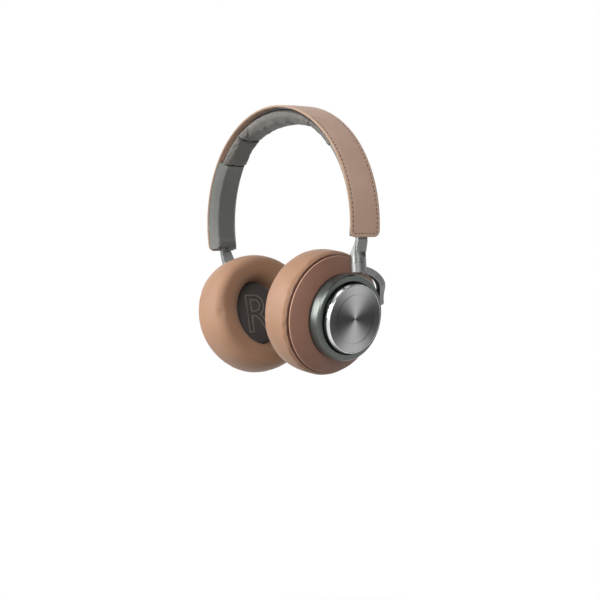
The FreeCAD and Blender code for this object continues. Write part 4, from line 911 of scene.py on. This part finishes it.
def cushion_outline(turn):
    """Closed outline (along, radius) of the cushion at an angle from the top, and which points are sewn."""
    throat = oval_radius(turn, OPENING_HIGH, OPENING_WIDE)
    line, held = [], []
    for step in range(4):
        line.append((CUSHION_BACK + (THROAT_SEAM - CUSHION_BACK) * step / 4, throat))
        held.append(True)
    line.append((THROAT_SEAM, throat + SEAM_DIP))
    held.append(True)
    crown = CUSHION_MID - CUSHION_HALF_T
    for step in range(1, 13):
        share = math.pi / 2 * step / 12
        bow = math.sin(share) ** 0.9
        line.append((THROAT_SEAM + (crown - THROAT_SEAM) * bow,
                     CROWN_R - (CROWN_R - throat) * math.cos(share) ** 0.9))
        held.append(False)
    centre = CUSHION_SIDE_R - CUSHION_SIDE_ROUND
    for step in range(0, 13):
        share = math.pi / 2 * step / 12
        line.append((CUSHION_MID - CUSHION_HALF_T * math.cos(share),
                     centre + CUSHION_SIDE_ROUND * math.sin(share)))
        held.append(False)
    for step in range(1, 13):
        share = math.pi / 2 * step / 12
        line.append((CUSHION_SHOULDER + (CUSHION_EDGE - CUSHION_SHOULDER) * math.sqrt(math.sin(share)),
                     CUSHION_SIDE_R - CUSHION_STEP_IN * (1 - math.sqrt(max(0.0, math.cos(share))))))
        held.append(step > 9)
    line.append((CUSHION_EDGE, SKIRT_R + 0.25 * MM))
    line.append((CUSHION_EDGE - 0.3 * MM, SKIRT_R + 0.05 * MM))
    line.append((CUSHION_BACK, SKIRT_R - 0.3 * MM))
    for step in range(1, 5):
        line.append((CUSHION_BACK, SKIRT_R + (throat - SKIRT_R) * step / 5))
    held += [True] * 7
    return line, held


CUSHION_STEPS = 144
rings, held, lip_shade_marks = [], [], []
for step in range(CUSHION_STEPS):
    turn = math.tau * step / CUSHION_STEPS
    line, sewn_points = cushion_outline(turn)
    ring = []
    for (along, radius), fast in zip(line, sewn_points):
        spot = Vector((math.cos(turn) * 2.5, math.sin(turn) * 2.5, along * 60))
        uneven = 0.0 if fast else noise.noise(spot) * CUSHION_UNEVEN
        full = radius + uneven
        ring.append(in_cup(1, along - uneven, full * math.sin(turn), full * math.cos(turn)))
    held += [step * len(line) + number for number, fast in enumerate(sewn_points) if fast]
    # Points just behind the cone's lip are painted almost black: a painted shadow in the groove between lip
    # and cushion.
    lip_shade_marks += [1.0 if along > CUSHION_EDGE - TUCK_SHADE_REACH else 0.0 for along, radius in line]
    rings.append(ring)
cushion_leather = leather("Cushion leather", CUSHION_TAN, CUSHION_TAN_DEEP, 0.48, 1500.0, 0.5, 0.00008)
cushion_leather = with_edge(cushion_leather, CUSHION_TUCK_SHADE)
cushion = add_piece("cushion_cover_left", "cup_left", "cushion_leather", cushion_leather,
                    *loft(rings, closed=True))
inflate(cushion, held, 1.2, 0.015, 0.8 * MM)
mark_edge(cushion, lip_shade_marks)
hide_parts("ear_cushion_left")
points = [Vector((-vertex.co.x, vertex.co.y, vertex.co.z)) for vertex in cushion.data.vertices]
faces = [tuple(reversed(face.vertices)) for face in cushion.data.polygons]
other = add_piece("cushion_cover_right", "cup_right", "cushion_leather", cushion_leather, points, faces)
mark_edge(other, lip_shade_marks)
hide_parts("ear_cushion_right")


# ---- Speaker cloths and ear marks ----
# Dark knitted cloth over thin foam closes each opening. The letter for its ear is stitched on it as a
# raised outline.
CLOTH_LOW = -16.2 * MM
CLOTH_T = 0.8 * MM
CLOTH_SWELL = 1.4 * MM
CLOTH_GAP = 0.3 * MM
MARK_HEIGHT = 29 * MM
MARK_LINE_R = 0.45 * MM
CLOTH_BROWN = (0.06, 0.05, 0.044, 1)
CLOTH_DARK = (0.03, 0.025, 0.022, 1)
MARK_THREAD = (0.12, 0.105, 0.095, 1)


def knit(name, yarn, gap):
    """Fine warp knit: rows of small loops, darker between the yarns."""
    made, tree, surface, place = new_material(name)
    yarns = {"Vector": place, "Scale": 420.0, "Distortion": 0.6, "Detail": 1.0}
    weft = put(tree, "ShaderNodeTexWave", yarns, bands_direction="Y")
    warp = put(tree, "ShaderNodeTexWave", yarns, bands_direction="Z")
    loops = sums(tree, "MULTIPLY", weft.outputs["Fac"], warp.outputs["Fac"])
    fuzz = put(tree, "ShaderNodeTexNoise", {"Vector": place, "Scale": 2500.0, "Detail": 4.0})
    height = sums(tree, "ADD", loops, sums(tree, "MULTIPLY", fuzz.outputs["Fac"], 0.3))
    raised_yarn = spread(tree, height, 0.15, 0.7, 0.0, 1.0)
    tree.links.new(mixed(tree, raised_yarn, gap, yarn), surface.inputs["Base Color"])
    raised(tree, surface, height, 0.0002, 0.7)
    surface.inputs["Roughness"].default_value = 0.85
    surface.inputs["Sheen Weight"].default_value = 0.3
    return made


def cloth_swell(share):
    """Height of the cloth above its edge, towards the ear, at a share of the way out."""
    return CLOTH_SWELL * (1 - share ** 2)


speaker_knit = knit("Speaker knit", CLOTH_BROWN, CLOTH_DARK)
for label, side in (("left", 1), ("right", -1)):
    rings = []
    radii = [share / 14 for share in range(1, 15)]
    levels = [(share, CLOTH_LOW - cloth_swell(share)) for share in radii]
    levels += [(share, CLOTH_LOW + CLOTH_T) for share in reversed(radii)]
    for step in range(96):
        turn = math.tau * step / 96
        reach = oval_radius(turn, OPENING_HIGH - CLOTH_GAP, OPENING_WIDE - CLOTH_GAP)
        rings.append([in_cup(side, along, reach * share * math.sin(turn), reach * share * math.cos(turn))
                      for share, along in levels])
    count = len(levels)
    points, faces = loft(rings, closed=True)
    faces = [face for face in faces if not {vertex % count for vertex in face} == {0, count - 1}]
    faces.append(tuple(step * count for step in range(96)))
    faces.append(tuple(step * count + count - 1 for step in reversed(range(96))))
    cloth = add_piece("speaker_knit_" + label, "cup_" + label, "speaker_cloth", speaker_knit, points, faces)
    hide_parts("speaker_cloth_" + label)

mark_thread = thread("Mark thread", MARK_THREAD)
for label, side in (("left", 1), ("right", -1)):
    letter = bpy.data.curves.new("ear_mark_" + label, "FONT")
    letter.body = label[0].upper()
    letter.size = MARK_HEIGHT / 0.7
    letter.align_x = "CENTER"
    letter.fill_mode = "NONE"
    letter.bevel_depth = MARK_LINE_R
    letter.bevel_resolution = 2
    letter.resolution_u = 6
    drawn = bpy.data.objects.new("ear_mark_draft", letter)
    bpy.context.scene.collection.objects.link(drawn)
    mesh = bpy.data.meshes.new_from_object(drawn.evaluated_get(bpy.context.evaluated_depsgraph_get()))
    bpy.data.objects.remove(drawn)
    points = []
    for vertex in mesh.vertices:
        across, up = -side * vertex.co.x * 0.9, vertex.co.y - MARK_HEIGHT / 2
        share = math.hypot(across / OPENING_WIDE, up / OPENING_HIGH)
        points.append(in_cup(side, CLOTH_LOW - cloth_swell(share) - 0.1 * MM + vertex.co.z, across, up))
    faces = [tuple(face.vertices) for face in mesh.polygons]
    add_piece("ear_mark_" + label, "cup_" + label, "speaker_cloth", mark_thread, points, faces)


# ---- Room, light and camera ----
# A plain white room with soft light from the left of the camera, from above and from the camera's side.
# The floor turns to plain white close to the point below the headphones, so hardly any shadow shows.
FLOOR_DROP = 0.2
FLOOR_FADE = (0.05, 0.16)
ROOM_DIM = 0.05
SKY_SOFT = 0.28
FLOOR_BOUNCE = 0.35
CAMERA_PLACE = Vector((0.806587, -0.587237, -0.124198))
CAMERA_AZIMUTH = math.radians(53.5766)
CAMERA_ELEVATION = math.radians(-0.3375)
CAMERA_ROLL = math.radians(-2.6612)
CAMERA_LENS = 80.52

middle = (cad_box[0] + cad_box[1]) / 2
scene = bpy.context.scene
forward = Vector((-math.sin(CAMERA_AZIMUTH) * math.cos(CAMERA_ELEVATION),
                  math.cos(CAMERA_AZIMUTH) * math.cos(CAMERA_ELEVATION), math.sin(CAMERA_ELEVATION)))
level_right = Vector((math.cos(CAMERA_AZIMUTH), math.sin(CAMERA_AZIMUTH), 0))
level_up = level_right.cross(forward)
camera_right = level_right * math.cos(CAMERA_ROLL) + level_up * math.sin(CAMERA_ROLL)
camera_up = -level_right * math.sin(CAMERA_ROLL) + level_up * math.cos(CAMERA_ROLL)
lens = bpy.data.cameras.new("Camera")
lens.lens = CAMERA_LENS
lens.sensor_width = 36.0
lens.clip_start, lens.clip_end = 0.05, 20.0
camera = bpy.data.objects.new("Camera", lens)
facing = Matrix((camera_right, camera_up, -forward)).transposed().to_4x4()
camera.matrix_world = Matrix.Translation(CAMERA_PLACE) @ facing
scene.collection.objects.link(camera)
scene.camera = camera

floor_z = cad_box[0].z - FLOOR_DROP
corners = [(-6, -6, floor_z), (6, -6, floor_z), (6, 6, floor_z), (-6, 6, floor_z)]
floor_mesh = bpy.data.meshes.new("Floor")
floor_mesh.from_pydata(corners, [], [(0, 1, 2, 3)])
floor = bpy.data.objects.new("Floor", floor_mesh)
scene.collection.objects.link(floor)
white = bpy.data.materials.new("White floor")
white.use_nodes = True
ground = white.node_tree
painted = ground.nodes["Principled BSDF"]
painted.inputs["Roughness"].default_value = 0.9
flat_place = put(ground, "ShaderNodeTexCoord").outputs["Object"]
away = put(ground, "ShaderNodeVectorMath", {0: flat_place, 1: (middle.x, middle.y, floor_z)},
           operation="DISTANCE")
far = spread(ground, away.outputs["Value"], FLOOR_FADE[0], FLOOR_FADE[1], 0.0, 1.0)
ground_paths = put(ground, "ShaderNodeLightPath").outputs
seen = sums(ground, "MAXIMUM", ground_paths["Is Camera Ray"], ground_paths["Is Glossy Ray"])
seen = sums(ground, "MAXIMUM", seen, ground_paths["Is Transmission Ray"])
plain_white = put(ground, "ShaderNodeEmission", {"Color": (1, 1, 1, 1), "Strength": 1.0}).outputs[0]
shade = mixed(ground, ground_paths["Is Camera Ray"], (FLOOR_BOUNCE,) * 3 + (1,), (0.93, 0.93, 0.93, 1))
ground.links.new(shade, painted.inputs["Base Color"])
shown = put(ground, "ShaderNodeMixShader", {0: sums(ground, "MULTIPLY", far, seen), 1: painted.outputs[0],
                                            2: plain_white})
ground.links.new(shown.outputs[0], ground.nodes["Material Output"].inputs["Surface"])
floor_mesh.materials.append(white)

world = bpy.data.worlds.new("Studio")
world.use_nodes = True
scene.world = world
sky = world.node_tree
paths = put(sky, "ShaderNodeLightPath").outputs
mirrored = sums(sky, "MAXIMUM", paths["Is Glossy Ray"], paths["Is Transmission Ray"])
toward_back = put(sky, "ShaderNodeVectorMath", {0: put(sky, "ShaderNodeTexCoord").outputs["Generated"],
                                                1: forward + Vector((0, 0, 0.35))}, operation="DOT_PRODUCT")
room = spread(sky, toward_back.outputs["Value"], -0.3, 0.25, ROOM_DIM, 1.0)
soft = put(sky, "ShaderNodeBackground", {"Color": (1, 1, 1, 1), "Strength": SKY_SOFT}).outputs[0]
bright = put(sky, "ShaderNodeBackground", {"Color": (1, 1, 1, 1), "Strength": 1.0}).outputs[0]
around = put(sky, "ShaderNodeBackground", {"Color": (1, 1, 1, 1), "Strength": room}).outputs[0]
chosen = put(sky, "ShaderNodeMixShader", {0: mirrored, 1: soft, 2: around}).outputs[0]
chosen = put(sky, "ShaderNodeMixShader", {0: paths["Is Camera Ray"], 1: chosen, 2: bright}).outputs[0]
sky.links.new(chosen, sky.nodes["World Output"].inputs["Surface"])


def lamp(name, place, width, height, watts):
    """Softbox that faces the middle of the headphones."""
    light = bpy.data.lights.new(name, "AREA")
    light.shape = "RECTANGLE"
    light.size, light.size_y = width, height
    light.energy = watts
    made = bpy.data.objects.new(name, light)
    made.location = middle + place
    made.rotation_mode = "QUATERNION"
    made.rotation_quaternion = (-place).to_track_quat("-Z", "Y")
    scene.collection.objects.link(made)


toward = -forward
lamp("Key", -level_right * 1.2 + toward * 0.3 + Vector((0, 0, 0.4)), 0.7, 0.9, 25)
lamp("Top", Vector((0, 0, 1.2)) + toward * 0.3, 0.9, 0.6, 2.5)
lamp("Fill", toward * 1.2 - level_right * 0.1 + Vector((0, 0, 0.45)), 0.6, 0.6, 9.5)

scene.view_settings.view_transform = "Standard"
